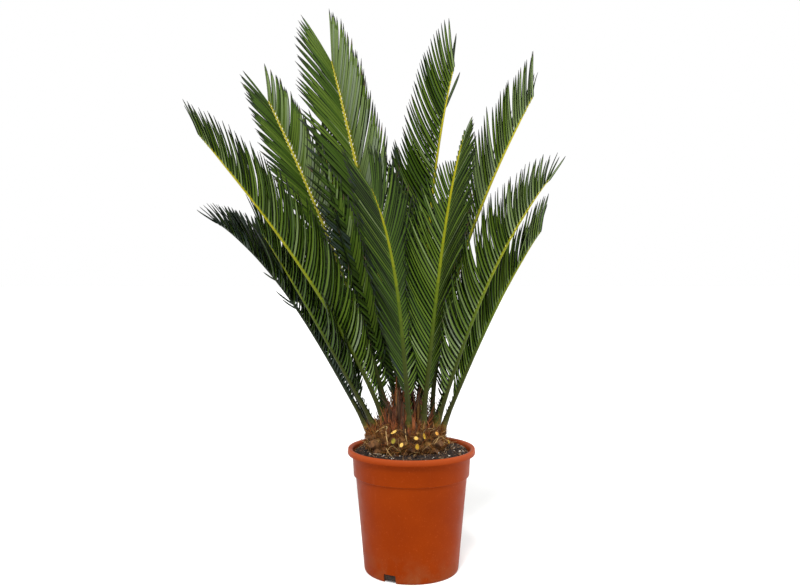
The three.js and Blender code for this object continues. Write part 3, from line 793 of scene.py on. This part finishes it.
# Places among the wood tones below, and how often an old base has each of them.
BROWN_SKIN, RED_BROWN_END, OLD_CUT, FIRST_FRESH = 0, 1, 3, 4
SKIN_ODDS, END_ODDS = [0.5, 0.3, 0.2], [0.4, 0.4, 0.2]
rng = np.random.default_rng(31)
bm = bmesh.new()
for row, (height, per_row, tilt) in enumerate(BASE_ROWS):
    for number in range(per_row):
        azimuth = 360 / per_row * (number + 0.5 * (row % 2)) + rng.normal(0, 2.5)
        sunk = 9.5 + 2.5 * max(0, math.cos(math.radians(azimuth)))
        place = outward_at(azimuth, height + rng.normal(0, 1.3), tilt + rng.normal(0, 7),
                           rng.normal(0, 12), sunk)
        leaf_base(bm, place, rng.uniform(7.2, 9.6), rng.uniform(4.4, 6.0), rng.uniform(10.5, 14.5),
                  int(rng.choice(3, p=SKIN_ODDS)), int(rng.choice([0, 1, OLD_CUT], p=END_ODDS)), rng)
for azimuth, height, wide, tall, roll, fresh in FRESH_CUTS:
    leaf_base(bm, outward_at(azimuth, height, 6 + height * 0.5, roll), wide, tall, FRESH_LENGTH,
              BROWN_SKIN, FIRST_FRESH + fresh, rng, lozenge=0.0, taper=0.2)
for azimuth, height, size in SWOLLEN:
    leaf_base(bm, outward_at(azimuth, height, tilt=12, sunk=10), size, size * 0.8, 16 + size * 0.25,
              BROWN_SKIN, RED_BROWN_END, rng)
bases_mesh = mesh_of(bm, "old_leaf_bases")
print("leaf bases:", len(bases_mesh.polygons), "faces")


# %% Wood tones
def woody(name, dark, light, scale):
    """A fibrous brown: noise stretched along the trunk, with a matching relief."""
    return grained(name, light, 0.88, {"scale": scale, "detail": 7, "stretch": (1, 1, 0.4)},
                   [(0.34, dark), (0.66, light)],
                   {"scale": scale * 4, "detail": 5, "stretch": (1, 1, 0.3)}, strength=0.6, distance=0.6)


SKIN_SCALE, CUT_SCALE = 140, 260  # a cut end has a finer grain
WOODS = {"base_brown": (SKIN_SCALE, (60, 38, 18), (118, 80, 42)),
         "base_red_brown": (SKIN_SCALE, (66, 40, 20), (124, 84, 46)),
         "base_olive": (SKIN_SCALE, (60, 48, 16), (122, 98, 38)),
         "old_cut": (CUT_SCALE, (96, 66, 30), (156, 116, 62)),
         "fresh_cut_cream": (CUT_SCALE, (196, 146, 50), (232, 196, 104)),
         "fresh_cut_orange": (CUT_SCALE, (180, 116, 36), (220, 164, 74)),
         "fresh_cut_yellow": (CUT_SCALE, (140, 100, 10), (190, 152, 34)),
         "fresh_cut_olive": (CUT_SCALE, (94, 84, 14), (140, 126, 34))}
base_tones = [woody(name, tone(*dark), tone(*light), scale) for name, (scale, dark, light) in WOODS.items()]
bases = new_object("old_leaf_bases", bases_mesh, *base_tones)
bases_mesh.set_sharp_from_angle(angle=math.radians(48))
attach(bases, "root")
print("base tones:", len(base_tones))

# %% [markdown]
# Wool and fibre make the trunk look alive. The wool is thousands of short hairs that stand out
# from the core between the bases. The fibres are longer, tan, and lie over the bases in loose
# curls. A hair has three sides and a fibre four or five, so even thousands stay light.


# %% Wool and fibres
WOOL_HAIRS, CROWN_HAIRS, FIBRES = 9000, 4200, 420
WOOL = {"umber": (70, 44, 22), "brown": (108, 70, 34), "tan": (146, 104, 56), "orange": (134, 72, 26)}
wool_tones = [painted("wool_" + name, tone(*colour), 0.95, Specular_IOR_Level=0.2)
              for name, colour in WOOL.items()]
wool_tones.append(painted("fibre_pale", tone(186, 154, 100), 0.8))


def on_trunk(rng, count, low, high, lift):
    """Random places on the trunk's skin and the directions straight out of it there."""
    height = rng.uniform(low, high, count)
    turn = rng.uniform(0, math.tau, count)
    slope = np.clip((height - 30) / 24, 0, 1) * 1.1
    out = around_axis(np.cos(slope), turn, np.sin(slope))
    return around_axis(trunk_radius(height) + lift, turn, TRUNK_FOOT + height, TRUNK_ASIDE), out


def hairs(name, rng, starts, headings, lengths, curl, thickness, taper, sides, kinds, odds):
    """Strands that set out along headings and stay above the mix. Lengths and thicknesses are drawn
    between two limits, and the tones from some kinds. The taper has a value for each ring."""
    count, rings = len(starts), len(taper)
    paths = wandering(rng, starts, headings, rng.uniform(*lengths, count), rings, curl)
    paths[..., 2] = np.maximum(paths[..., 2], TRUNK_FOOT - 0.5)
    dealt = dealt_tones(rng, count, rings, kinds, odds)
    return round_strands(name, paths, rng.uniform(*thickness, count), taper, sides, dealt, wool_tones)


rng = np.random.default_rng(41)
starts, out = on_trunk(rng, WOOL_HAIRS, low=1, high=53, lift=-1.5)
headings = out + rng.normal(0, 0.55, out.shape) + [0, 0, 0.25]
wool = hairs("trunk_wool", rng, starts, headings, lengths=(4, 9.5), curl=1.1, thickness=(0.22, 0.46),
             taper=[1, 0.9, 0.65, 0.2], sides=3, kinds=4, odds=[0.34, 0.34, 0.2, 0.12])
starts, out = on_trunk(rng, FIBRES, low=4, high=50, lift=2.5)
around = np.cross(out, [0, 0, 1]) * rng.normal(0, 1, (FIBRES, 1))
headings = out * 0.35 + around + rng.normal(0, 0.3, out.shape)
headings[:, 2] += rng.normal(0.1, 0.8, FIBRES)
fibres = hairs("trunk_fibres", rng, starts, headings, lengths=(10, 34), curl=1.7, thickness=(0.3, 0.75),
               taper=np.linspace(1, 0.35, 9), sides=4, kinds=[1, 2, 3, 4], odds=[0.3, 0.34, 0.18, 0.18])

# Thick loose fibres, each through (azimuth, height) points a little off the trunk's skin, with its
# thickness and its tone.
LOOSE_FIBRES = [([(216, 41), (228, 50), (240, 40), (245, 26)], 2.0, 4),
                ([(205, 52), (222, 47), (236, 36)], 1.1, 2), ([(268, 53), (269, 43), (271, 33)], 1.4, 4),
                ([(243, 22), (248, 12), (256, 4)], 1.5, 4), ([(300, 30), (306, 20), (318, 17)], 1.1, 2),
                ([(330, 44), (322, 36), (310, 26)], 1.2, 4), ([(20, 44), (35, 36), (60, 40)], 1.5, 4),
                ([(110, 18), (128, 30), (150, 26)], 1.4, 2)]
OFF_TRUNK = 5.5
rings, lines = 12, []
evenly = np.linspace(0, 1, rings)
for points, _, _ in LOOSE_FIBRES:
    at = np.linspace(0, 1, len(points))
    turn, height = (np.polyval(np.polyfit(at, part, len(points) - 1), evenly) for part in zip(*points))
    radius = trunk_radius(height) + OFF_TRUNK
    lines.append(around_axis(radius, np.radians(turn), TRUNK_FOOT + height, TRUNK_ASIDE))
dealt = np.repeat([[kind] for _, _, kind in LOOSE_FIBRES], rings - 1, axis=1)
thickness = np.array([thick for _, thick, _ in LOOSE_FIBRES])
taper = np.interp(evenly, [0, 0.2, 0.7, 1], [0.5, 1, 0.9, 0.3])
loose = round_strands("loose_fibres", np.stack(lines), thickness, taper, 5, dealt, wool_tones)
for piece in (wool, fibres, loose):
    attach(piece, "root")
print("hairs:", WOOL_HAIRS, "fibres:", FIBRES, "loose fibres:", len(LOOSE_FIBRES))

# %% [markdown]
# ## Papery scales and the bud
# Between the leaf stalks stand cataphylls, pointed papery scales that once wrapped the young
# leaves. They are orange-brown, taller towards the middle, and close over the growing point as a
# woolly bud. A scale is a strand with a hollowed section, widest near its foot.


# %% Blades from arrays
def blade_section(hollow):
    """An arched section with its edges rolled down and a keel, in half widths and thicknesses."""
    return [(1, -hollow), (0.66, -0.22 * hollow), (0, 0), (-0.66, -0.22 * hollow), (-1, -hollow),
            (-0.56, -0.5 * hollow - 0.3), (0, -1), (0.56, -0.5 * hollow - 0.3)]


def blades(name, paths, faces_up, half_widths, thickness, dealt, materials, hollow):
    """Flat pointed strands along paths; faces_up is the way each one's top side looks."""
    along = unit(np.gradient(paths, axis=1))
    up = unit(faces_up - along * np.sum(faces_up * along, axis=-1, keepdims=True))
    across = np.cross(up, along)
    return strands(name, paths, across * half_widths[..., None], up * thickness[..., None],
                   blade_section(hollow), dealt, materials)


def dome(radius):
    """The height of the trunk's top, where stalks and scales stand, at a radius."""
    return CROWN["dome"] - CROWN["fall"] * radius ** 2


SCALE_SHAPE = np.array([0.95, 1, 1, 0.94, 0.82, 0.62, 0.36, 0.05])  # width at each ring


def scales(name, rng, radius, azimuth, length, splay, wide, dealt, materials, foot):
    """Papery scales that stand round the crown, feet at a radius, tips splayed out by an angle."""
    count, rings = len(radius), len(SCALE_SHAPE)
    azimuth, splay = np.radians(azimuth), np.radians(splay)
    starts = around_axis(radius, azimuth, dome(radius) - foot, TRUNK_ASIDE)
    heading = around_axis(np.sin(splay), azimuth, np.cos(splay))
    out = around_axis(1, azimuth, 0 * azimuth)
    axis = np.cross([0.0, 0.0, 1.0], out)
    paths = bent_paths(starts, heading, axis, rng.normal(-0.05, 0.10, count), length, rings)
    turn = rng.normal(0, 0.35, count)
    faces_up = -(out * np.cos(turn)[:, None] + axis * np.sin(turn)[:, None])
    return blades(name, paths, np.repeat(faces_up[:, None], rings, axis=1), wide[:, None] * SCALE_SHAPE,
                  np.full((count, rings), 1.6) * SCALE_SHAPE ** 0.5, dealt, materials, hollow=0.1)


# %% Cataphylls and bud
def papery(name, dark, light):
    """Dry scale: fine streaks along the scale from its own UV map."""
    streaks = {"scale": 6, "detail": 6, "stretch": (2.6, 0.5, 1), "coordinate": "UV"}
    return grained(name, light, 0.8, streaks, [(0.32, dark), (0.68, light)], streaks, strength=0.5,
                   distance=0.5)


scale_tones = [papery("scale_orange", tone(88, 42, 12), tone(142, 78, 30)),
               papery("scale_red_brown", tone(60, 30, 12), tone(104, 56, 26)),
               papery("scale_dark", tone(40, 26, 12), tone(80, 54, 26)),
               papery("scale_straw", tone(100, 68, 28), tone(150, 110, 54))]
CATAPHYLLS, BUD_SCALES = 430, 26
SPIRAL_STEP = 137.5  # degrees from one bud scale to the next
rng = np.random.default_rng(51)
radius = even_radii(rng, 10, 58, CATAPHYLLS)
length = np.interp(radius, [10, 24, 38, 58], [82, 64, 34, 13]) * rng.uniform(0.6, 1.1, CATAPHYLLS)
dealt = dealt_tones(rng, CATAPHYLLS, len(SCALE_SHAPE), 4, [0.36, 0.32, 0.22, 0.10])
azimuth = rng.uniform(0, 360, CATAPHYLLS)
splay = 0.40 * radius + rng.normal(0, 5, CATAPHYLLS)
cataphylls = scales("crown_scales", rng, radius, azimuth, length, splay,
                    rng.uniform(1.0, 3.2, CATAPHYLLS), dealt, scale_tones, foot=4.0)
radius = even_radii(rng, 0, 13, BUD_SCALES)
length = 66 - 1.4 * radius + rng.normal(0, 2, BUD_SCALES)
wide = rng.uniform(2.6, 4.0, BUD_SCALES)
dealt = dealt_tones(rng, BUD_SCALES, len(SCALE_SHAPE), 4)
bud = scales("crown_bud_scales", rng, radius, np.arange(BUD_SCALES) * SPIRAL_STEP, length,
             0.7 * radius, wide, dealt, scale_tones, foot=3.0)
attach(cataphylls, "root")
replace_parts(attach(bud, "root"), "crown_bud")
print("cataphylls:", CATAPHYLLS, "bud scales:", BUD_SCALES)

# %% Wool among the stalks
radius = even_radii(rng, 0, 62, CROWN_HAIRS)
turn = rng.uniform(0, math.tau, CROWN_HAIRS)
starts = around_axis(radius, turn, dome(radius) - 2, TRUNK_ASIDE)
headings = around_axis(radius / 70, turn, 0 * turn + 1)
headings += rng.normal(0, 0.4, headings.shape)
crown_wool = hairs("crown_wool", rng, starts, headings, lengths=(5, 17), curl=1.0, thickness=(0.22, 0.5),
                   taper=[1, 0.9, 0.8, 0.6, 0.2], sides=3, kinds=4, odds=[0.2, 0.34, 0.22, 0.24])
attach(crown_wool, "root")
print("crown hairs:", CROWN_HAIRS)

# %% [markdown]
# ## The ribs of the fronds
# A rib is round-backed, with a low ridge on top between the two rows of leaflets. Its curve comes
# from the same rule as the CAD frond's: the lean grows from foot to tip, and short strides along
# that lean add up to the path. The skin is drawn out ring by ring, by extruding the end face of a
# circle, and each ring takes its colour by its distance: woolly brown at the foot, dark green on
# the stalk, then yellower and yellower along the blade. A frond in deep shade has a dusky rib past
# its stalk, a painted shade.


# %% Where a rib runs
def rib_frames(frond, distances):
    """At distances from the foot, in mm: the place, and the directions along, up and right."""
    (foot_lean, tip_lean), length, steps = frond["lean"], frond["length"], RIB["steps"]
    heading = math.radians(frond["azimuth"])

    def lean_at(share):
        return np.radians(foot_lean + (tip_lean - foot_lean) * share ** frond["bend"])

    def direction(lean):
        return around_axis(np.sin(lean), heading, np.cos(lean))

    radius, side = frond["foot"]
    foot = around_axis(radius, math.radians(side), dome(radius), TRUNK_ASIDE)
    strides = direction(lean_at((np.arange(steps) + 0.5) / steps)) * length / steps
    places = np.vstack([foot, foot + np.cumsum(strides, axis=0)])
    share = np.clip(distances / length, 0, 1)
    lean = lean_at(share)
    along = direction(lean)
    up = around_axis(-np.cos(lean), heading, np.sin(lean))
    up = turned_about(up, along, np.full(len(lean), math.radians(frond["roll"])))
    index = np.minimum((share * steps).astype(int), steps - 1)
    part = (share * steps - index)[:, None]
    place = places[index] * (1 - part) + places[index + 1] * part
    place = place + along * (distances - share * length)[:, None]
    return place, along, up, np.cross(along, up)


def rib_size(distances, length):
    """A rib's width, depth and edge thickness, in mm."""
    low = np.clip(distances / RIB["stalk_at"], 0, 1)
    high = np.clip((distances - RIB["stalk_at"]) / (length - RIB["stalk_at"]), 0, 1)

    def between(foot, stalk, tip):
        return foot + (stalk - foot) * low + (tip - stalk) * high
    return (between(RIB["base_width"], RIB["stalk_width"], RIB["tip_width"]),
            between(RIB["base_depth"], RIB["stalk_depth"], RIB["tip_depth"]),
            between(RIB["edge_at_foot"], RIB["edge_at_foot"], RIB["edge_at_tip"]))


def rib_slimness(distances, length):
    """The leaf base is fuller than the CAD's, and the last stretch finer."""
    return np.interp(distances, [0, 28, 60, 150, length - 60, length], [1.14, 0.96, 0.94, 0.93, 0.9, 0.5])


longest = max(FRONDS, key=lambda frond: frond["length"])
tip = rib_frames(longest, np.array([longest["length"]]))[0][0]
print("tip of the longest rib:", tip.round(1).tolist())

# %% Draw out one rib
RIB_SECTION = [(1, -0.12), (0.86, 0.0), (0.55, -0.06), (0.2, 0.07),
               (-0.2, 0.07), (-0.55, -0.06), (-0.86, 0.0), (-1, -0.12),
               (-0.96, -0.42), (-0.62, -0.82), (0, -1.0), (0.62, -0.82), (0.96, -0.42)]
RIB_KEYS = [(0, tone(88, 64, 32)), (7, tone(108, 88, 38)), (17, tone(62, 64, 26)),
            (34, tone(46, 48, 14)), (130, tone(53, 63, 12)), (210, tone(76, 92, 16)),
            (300, tone(116, 122, 16)), (430, tone(154, 146, 20)), (620, tone(172, 160, 32))]
RIB_SHADES, SHADE_POWER = 28, 2.2
RIB_DUSK = RIB_SHADES  # the place of the dusky shade, after all the others
STALK_TOP = 60  # mm up the rib, where its yellowing and its dusk begin
DEEP_SHADE = -1.5  # a frond whose rows are both darker than this stands in deep shade


def rib_shade(distance):
    """The colour of a rib at a distance from its foot, between the keys."""
    places, colours = zip(*RIB_KEYS)
    return tuple(float(np.interp(distance, places, part)) for part in zip(*colours))


rib_shades = []
for number in range(RIB_SHADES):
    distance = RIB_KEYS[-1][0] * (number / (RIB_SHADES - 1)) ** SHADE_POWER
    rib_shades.append(painted(f"rib_shade_{number:02d}", rib_shade(distance), 0.5, Specular_IOR_Level=0.15))
rib_shades.append(painted("rib_dusk", tone(32, 40, 22), 0.5, Specular_IOR_Level=0.15))


def shade_at(distances, yellowing):
    """Which shade a rib has at each distance; yellowing below 1 keeps it green for longer."""
    aged = np.where(distances > STALK_TOP, STALK_TOP + (distances - STALK_TOP) * yellowing, distances)
    share = np.clip(aged / RIB_KEYS[-1][0], 0, 1)
    return np.round(share ** (1 / SHADE_POWER) * (RIB_SHADES - 1)).astype(int)


def draw_rib(frond):
    """The rib as a round-backed rod, drawn out ring by ring, from its sunk foot to its tip."""
    length = frond["length"]
    distances = np.concatenate([np.linspace(-CROWN["sunk"], RIB["stalk_at"], 12),
                                np.linspace(46, length, round(length / 7))])
    place, _, up, right = rib_frames(frond, distances)
    width, depth, _ = rib_size(distances, length)
    slim = rib_slimness(distances, length)
    shades = shade_at(distances, frond["yellowing"])
    # A frond in deep shade gets the dusky tone past its stalk, a painted shade.
    if max(frond["light"]) < DEEP_SHADE:
        shades[distances > STALK_TOP] = RIB_DUSK
    bm = bmesh.new()
    bmesh.ops.create_circle(bm, cap_ends=True, segments=len(RIB_SECTION), radius=1)
    face = bm.faces[:][0]
    for number in range(len(distances)):
        if number:
            face = bmesh.ops.extrude_discrete_faces(bm, faces=[face])["faces"][0]
        for vert, (x, y) in zip(face.verts, RIB_SECTION):
            across = right[number] * x * width[number] / 2 + up[number] * y * depth[number]
            vert.co = Vector(place[number] + across * slim[number]) * MM
        for edge in face.edges:
            for wall in edge.link_faces:
                wall.material_index = int(shades[number])
    bmesh.ops.holes_fill(bm, edges=[edge for edge in bm.edges if edge.is_boundary], sides=0)
    bmesh.ops.recalc_face_normals(bm, faces=bm.faces)
    mesh = mesh_of(bm, frond["name"] + "_rib")
    smooth(mesh, 60)
    return new_object(mesh.name, mesh, *rib_shades)


for frond in FRONDS:
    rib = draw_rib(frond)
    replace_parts(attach(rib, "root"), frond["name"])
print("faces in one rib:", len(rib.data.polygons))

# %% [markdown]
# ## The leaflets
# Each side of a rib carries a row of stiff narrow leaflets, 7 to 10 mm apart, raised so that the
# two rows stand in a V. A leaflet leaves the rib at a wide angle and curves forward to a sharp
# point. Its edges roll down and a keel runs beneath it, which is why it shines in two lines. The
# rule for angle and length is the CAD frond's, carried to more and finer leaflets within the same
# reach. A leaflet that would pass through another frond's rib leans aside, or stays shorter.


# %% The rule for leaflets
# A leaflet's rings, as shares of its length, and its width at each, as shares of its full width.
RING_AT = np.array([0, 0.020, 0.07, 0.24, 0.42, 0.60, 0.77, 0.90, 1.0])
WIDTH_AT = np.array([0.60, 0.70, 0.92, 1.0, 1.0, 0.96, 0.80, 0.50, 0.05])
FULL_WIDTH, THICKNESS = 5.6, 1.15
LEAF_HOLLOW = 1.25  # how far the edges roll down, in thicknesses
SPINES_AT = np.array([22.0, 29.0, 36.0, 43.0, 50.0])  # short spines on the stalk, below the blade


def leaflet_length(share, frond, row):
    """How long the leaflet at a share of the blade is in a row, 0 or 1."""
    low = LEAFLET["shortest"] + (1 - LEAFLET["shortest"]) * (1 - (1 - share / LEAFLET["widest_at"]) ** 2)
    drop = (share - LEAFLET["widest_at"]) / (1 - LEAFLET["widest_at"])
    high = np.maximum(LEAFLET["least"], 1 - (1 - frond["tips"][row]) * drop ** 2)
    return frond["leaf"] * np.where(share < LEAFLET["widest_at"], low, high)


def leaflet_angle(share, frond):
    """The angle between leaflet and rib, in degrees."""
    by, power = frond["closing"]
    return (LEAFLET["angle"] - LEAFLET["angle_fall"] * share) * frond["spread"] - by * share ** power


def grow(frames, roots, side, angle, lift, length, bow):
    """The paths of leaflets and the ways their top sides look, count x rings x 3 each."""
    _, along, up, right = frames
    angle = np.radians(angle)[:, None]
    places, faces, middle = [roots], [], (RING_AT[1:] + RING_AT[:-1]) / 2
    for at, step in zip(middle, np.diff(RING_AT)):
        raised = np.radians(lift + LEAFLET["droop"] * (0.5 - at))[:, None]
        out = side * right * np.cos(raised) + up * np.sin(raised)
        turn = angle * (LEAFLET["mean_turn"] + bow * (0.5 - at))
        stride = along * np.cos(turn) + out * np.sin(turn)
        places.append(places[-1] + stride * (length * step)[:, None])
        faces.append(up * np.cos(raised) - side * right * np.sin(raised))
    return np.stack(places, axis=1), np.stack([*faces, faces[-1]], axis=1)


def leaflets_in_row(frond):
    """How many leaflets one side of a frond has."""
    return round((frond["length"] - BLADE_START) / frond["pitch"])


print("leaflets on all fronds:", 2 * sum(leaflets_in_row(frond) for frond in FRONDS))

# %% Where leaflets are crowded
ROOM = 4.6  # mm between the middle of a leaflet and the middle of another frond's rib
rib_points = [rib_frames(frond, np.arange(0, frond["length"], 4.0))[0] for frond in FRONDS]
owners = np.repeat(np.arange(len(FRONDS)), [len(points) for points in rib_points])
rib_tree = kdtree.KDTree(len(owners))
for index, point in enumerate(np.vstack(rib_points)):
    rib_tree.insert(point, index)
rib_tree.balance()


def clear_share(path, own):
    """The share of a leaflet's length that stays clear of every other frond's rib."""
    fine = np.linspace(0, 1, 22)
    points = np.stack([np.interp(fine, RING_AT, path[:, axis]) for axis in range(3)], axis=-1)
    for share, point in zip(fine, points):
        if any(owners[index] != own for _, index, _ in rib_tree.find_range(point, ROOM)):
            return share
    return 1.0


print("rib points to keep clear of:", len(owners))

# %% [markdown]
# The greens are dealt out leaflet by leaflet from a few plain tones, in drifts rather than at
# random, as a real frond is lighter here and darker there. On top of that each row is painted
# lighter or darker as a whole, a painted light and shade for how that row is lit, and the inner
# leaflets of some fronds darker still, a painted shade deep in the crown. The darkest tone, dusk, is
# a painted shade. The lightest rows also have some sage leaflets, a painted reflection of the sky.
# A leaflet's rolled margins are painted dark, a painted shade that parts it from the next, and its
# tip is nearly black or brown. On some fronds its heel, where it joins the rib, grows paler up the
# blade.

# %% Leaf tones
# dusk is a painted shade, for leaflets that stand in deep shade; sage is a painted reflection of the sky.
LEAF = {"dusk": tone(45, 57, 47), "deep": tone(45, 61, 20), "green": tone(60, 82, 25),
        "bright": tone(79, 100, 34), "light": tone(104, 122, 72), "sage": tone(114, 127, 98)}
LIGHT, SAGE, HEEL_GREEN, HEEL_LIME, HEEL_CREAM, TIP_DARK, TIP_BROWN, EDGE_SHADE = range(4, 12)


def leaf_green(name, colour):
    """A leathery leaf: a plain colour, and fine veins along it in relief."""
    material = painted("leaf_" + name, colour, 0.4, Specular_IOR_Level=0.14)
    tree, shader, add = nodes_of(material)
    bumped(tree, shader, add, grain(add, 9, stretch=(3, 0.25, 1), coordinate="UV"), 0.25, 0.12)
    return material


leaf_tones = [leaf_green(name, colour) for name, colour in LEAF.items()]
leaf_tones += [painted("heel_green", tone(70, 88, 24), 0.45), painted("heel_lime", tone(104, 114, 24), 0.5),
               painted("heel_cream", tone(184, 174, 84), 0.5),
               painted("tip_dark", tone(24, 32, 14), 0.5), painted("tip_brown", tone(74, 58, 30), 0.7),
               painted("edge_painted_shade", tone(20, 30, 8), 0.5, Specular_IOR_Level=0.14)]
# A leaflet's level is its place among the plain greens, from 0 for dusk, a painted shade, to 4 for light.
LEVEL = {"middle": 2.35, "drift": 0.35, "scatter": 0.5, "inner_until": 0.6}
SAGE_ABOVE, SAGE_ODDS, BROWN_TIPS = 3.6, 0.36, 0.12
HEELS = {"pale_from": 0.25, "pale_over": 0.3, "long_from": 0.36}  # shares of the blade
SECTION_SIDES = len(blade_section(LEAF_HOLLOW))
MARGIN_SIDES = [0, 3, 4, 7]  # the sides of the section next to a leaflet's two edges


def drifting(rng, count, window, spread):
    """Random values that change slowly from one leaflet to the next."""
    return np.convolve(rng.normal(0, spread, count + window - 1), np.ones(window) / window ** 0.5, "valid")


def leaflet_tones(rng, shares, frond, side):
    """A tone for every leaflet between its rings, in drifts along the row."""
    count = len(shares)
    drift = drifting(rng, count, 13, 1)
    # The row's light moves its level: a painted light and shade for how that row is lit.
    level = (LEVEL["middle"] + frond["light"][(side + 1) // 2] + LEVEL["drift"] * drift
             + rng.normal(0, LEVEL["scatter"], count))
    # Inner leaflets are painted darker, a painted shade deep in the crown.
    level -= frond["inner"] * np.clip(1 - shares / LEVEL["inner_until"], 0, 1)
    tones = np.clip(np.round(level), 0, LIGHT).astype(int)
    tones = np.repeat(tones[:, None], len(RING_AT) - 1, axis=1)
    # Sage leaflets, on the lightest rows only, are a painted reflection of the sky.
    tones[rng.random(count) < SAGE_ODDS * np.clip(level - SAGE_ABOVE, 0, 1)] = SAGE
    tones[:, -2] = np.clip(tones[:, -2] - 1, 0, LIGHT)
    if frond["heels"] != "dark":
        heel = (shares + rng.normal(0, 0.05, count) - HEELS["pale_from"]) / HEELS["pale_over"]
        tones[:, 0] = np.clip(HEEL_GREEN + np.round(heel), HEEL_GREEN, HEEL_CREAM)
    tones[:, -1] = np.where(rng.random(count) < BROWN_TIPS, TIP_BROWN, TIP_DARK)
    tones = np.repeat(tones[..., None], SECTION_SIDES, axis=2)
    # The margins take a dark tone, a painted shade that parts each leaflet from the next.
    tones[:, 1:, MARGIN_SIDES] = EDGE_SHADE
    if frond["heels"] == "long" and side > 0:
        tones[shares + rng.normal(0, 0.04, count) > HEELS["long_from"], 1] = HEEL_LIME
    return tones


# %% Grow the leaflets
STRAY_ODDS = 0.03
ASIDE = (8, -8, 16, -16)  # degrees that a leaflet may lean aside, to pass another frond's rib
SHORTER, SHORTEST, TOO_SHORT = 0.06, 0.12, 0.2  # shares of its length, where leaning doesn't help


def clear_of_ribs(own, frames, roots, side, angle, lift, length, bow):
    """Leaflets that lean aside where that passes another frond's rib, or else end short of it: their
    paths and faces, and which of them stay long enough to keep."""
    paths, faces = grow(frames, roots, side, angle, lift, length, bow)
    best = np.array([clear_share(path, own) for path in paths])
    for aside in ASIDE:
        tried, looks = grow(frames, roots, side, angle, lift + aside, length, bow)
        for leaflet in np.flatnonzero(best < 1):
            share = clear_share(tried[leaflet], own)
            if share > best[leaflet]:
                best[leaflet], paths[leaflet], faces[leaflet] = share, tried[leaflet], looks[leaflet]
    kept = np.where(best < 1, np.maximum(best - SHORTER, SHORTEST), 1)
    return paths[:, :1] + (paths - paths[:, :1]) * kept[:, None, None], faces, kept > TOO_SHORT


def leaflet_row(number, side, rng):
    """One side's leaflets: their paths, faces, half widths and tones."""
    frond, row = FRONDS[number], (side + 1) // 2
    length, blade, bow = frond["length"], frond["length"] - BLADE_START, frond["bows"][row]
    in_row = leaflets_in_row(frond)
    # The two rows are staggered by half a pitch. The first few are the stalk's spines.
    distances = BLADE_START + (np.arange(in_row) + 0.5 + 0.25 * side) * blade / in_row
    distances = np.concatenate([SPINES_AT + rng.normal(0, 1.5, len(SPINES_AT)), distances])
    spine, count = np.arange(len(distances)) < len(SPINES_AT), len(distances)
    shares = np.clip((distances - BLADE_START) / blade, 0, 1)
    frames = rib_frames(frond, distances)
    width, _, edge = rib_size(distances, length)
    slim = rib_slimness(distances, length)
    roots = frames[0] + frames[3] * (side * 0.32 * width * slim)[:, None]
    roots -= frames[2] * (edge * 0.4)[:, None]
    angle = leaflet_angle(shares, frond) + rng.normal(0, 0.8, count)
    lift = frond["lifts"][row] + rng.normal(0, 1.6, count)
    angle += drifting(rng, count, 3, 1.6)
    stray = rng.random(count) < STRAY_ODDS
    angle += stray * rng.normal(0, 7, count)
    lift += stray * rng.normal(0, 11, count)
    reach = leaflet_length(shares, frond, row) * rng.uniform(0.93, 1.015, count)
    reach[spine] *= rng.uniform(0.35, 0.6, len(SPINES_AT))
    thin = spine.copy()
    # Strays that are placed one by one, in the right row.
    for share, to_rib, raised, far in frond["strays"] if row else ():
        odd = np.argmin(abs(shares - share))
        angle[odd], lift[odd], reach[odd], thin[odd] = to_rib, raised, far, True
    paths, faces, keep = clear_of_ribs(number, frames, roots, side, angle, lift, reach, bow)
    turn = rng.normal(0.40, 0.13, count) * side
    along = unit(np.gradient(paths, axis=1))
    faces = turned_about(unit(faces), along, np.repeat(turn[:, None], len(RING_AT), axis=1))
    wide = frond["wide"] * FULL_WIDTH / 2 * np.clip(0.55 + 0.5 * reach / frond["leaf"], 0.5, 1)
    wide = wide * rng.uniform(0.92, 1.06, count) * np.where(thin, 0.4, 1)
    half_widths = wide[:, None] * WIDTH_AT
    tones = leaflet_tones(rng, shares, frond, side)
    return paths[keep], faces[keep], half_widths[keep], tones[keep]


leaflet_count = 0
for number, frond in enumerate(FRONDS):
    rng = np.random.default_rng(700 + number)
    rows = [leaflet_row(number, side, rng) for side in (-1, 1)]
    paths, faces, half_widths, tones = (np.concatenate(part) for part in zip(*rows))
    thick = np.broadcast_to(THICKNESS * WIDTH_AT ** 0.35, half_widths.shape)
    leaflets = blades(frond["name"] + "_leaflets", paths, faces, half_widths, thick, tones, leaf_tones,
                      LEAF_HOLLOW)
    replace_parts(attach(leaflets, "root"), frond["name"])
    leaflet_count += len(paths)
print("leaflets:", leaflet_count)
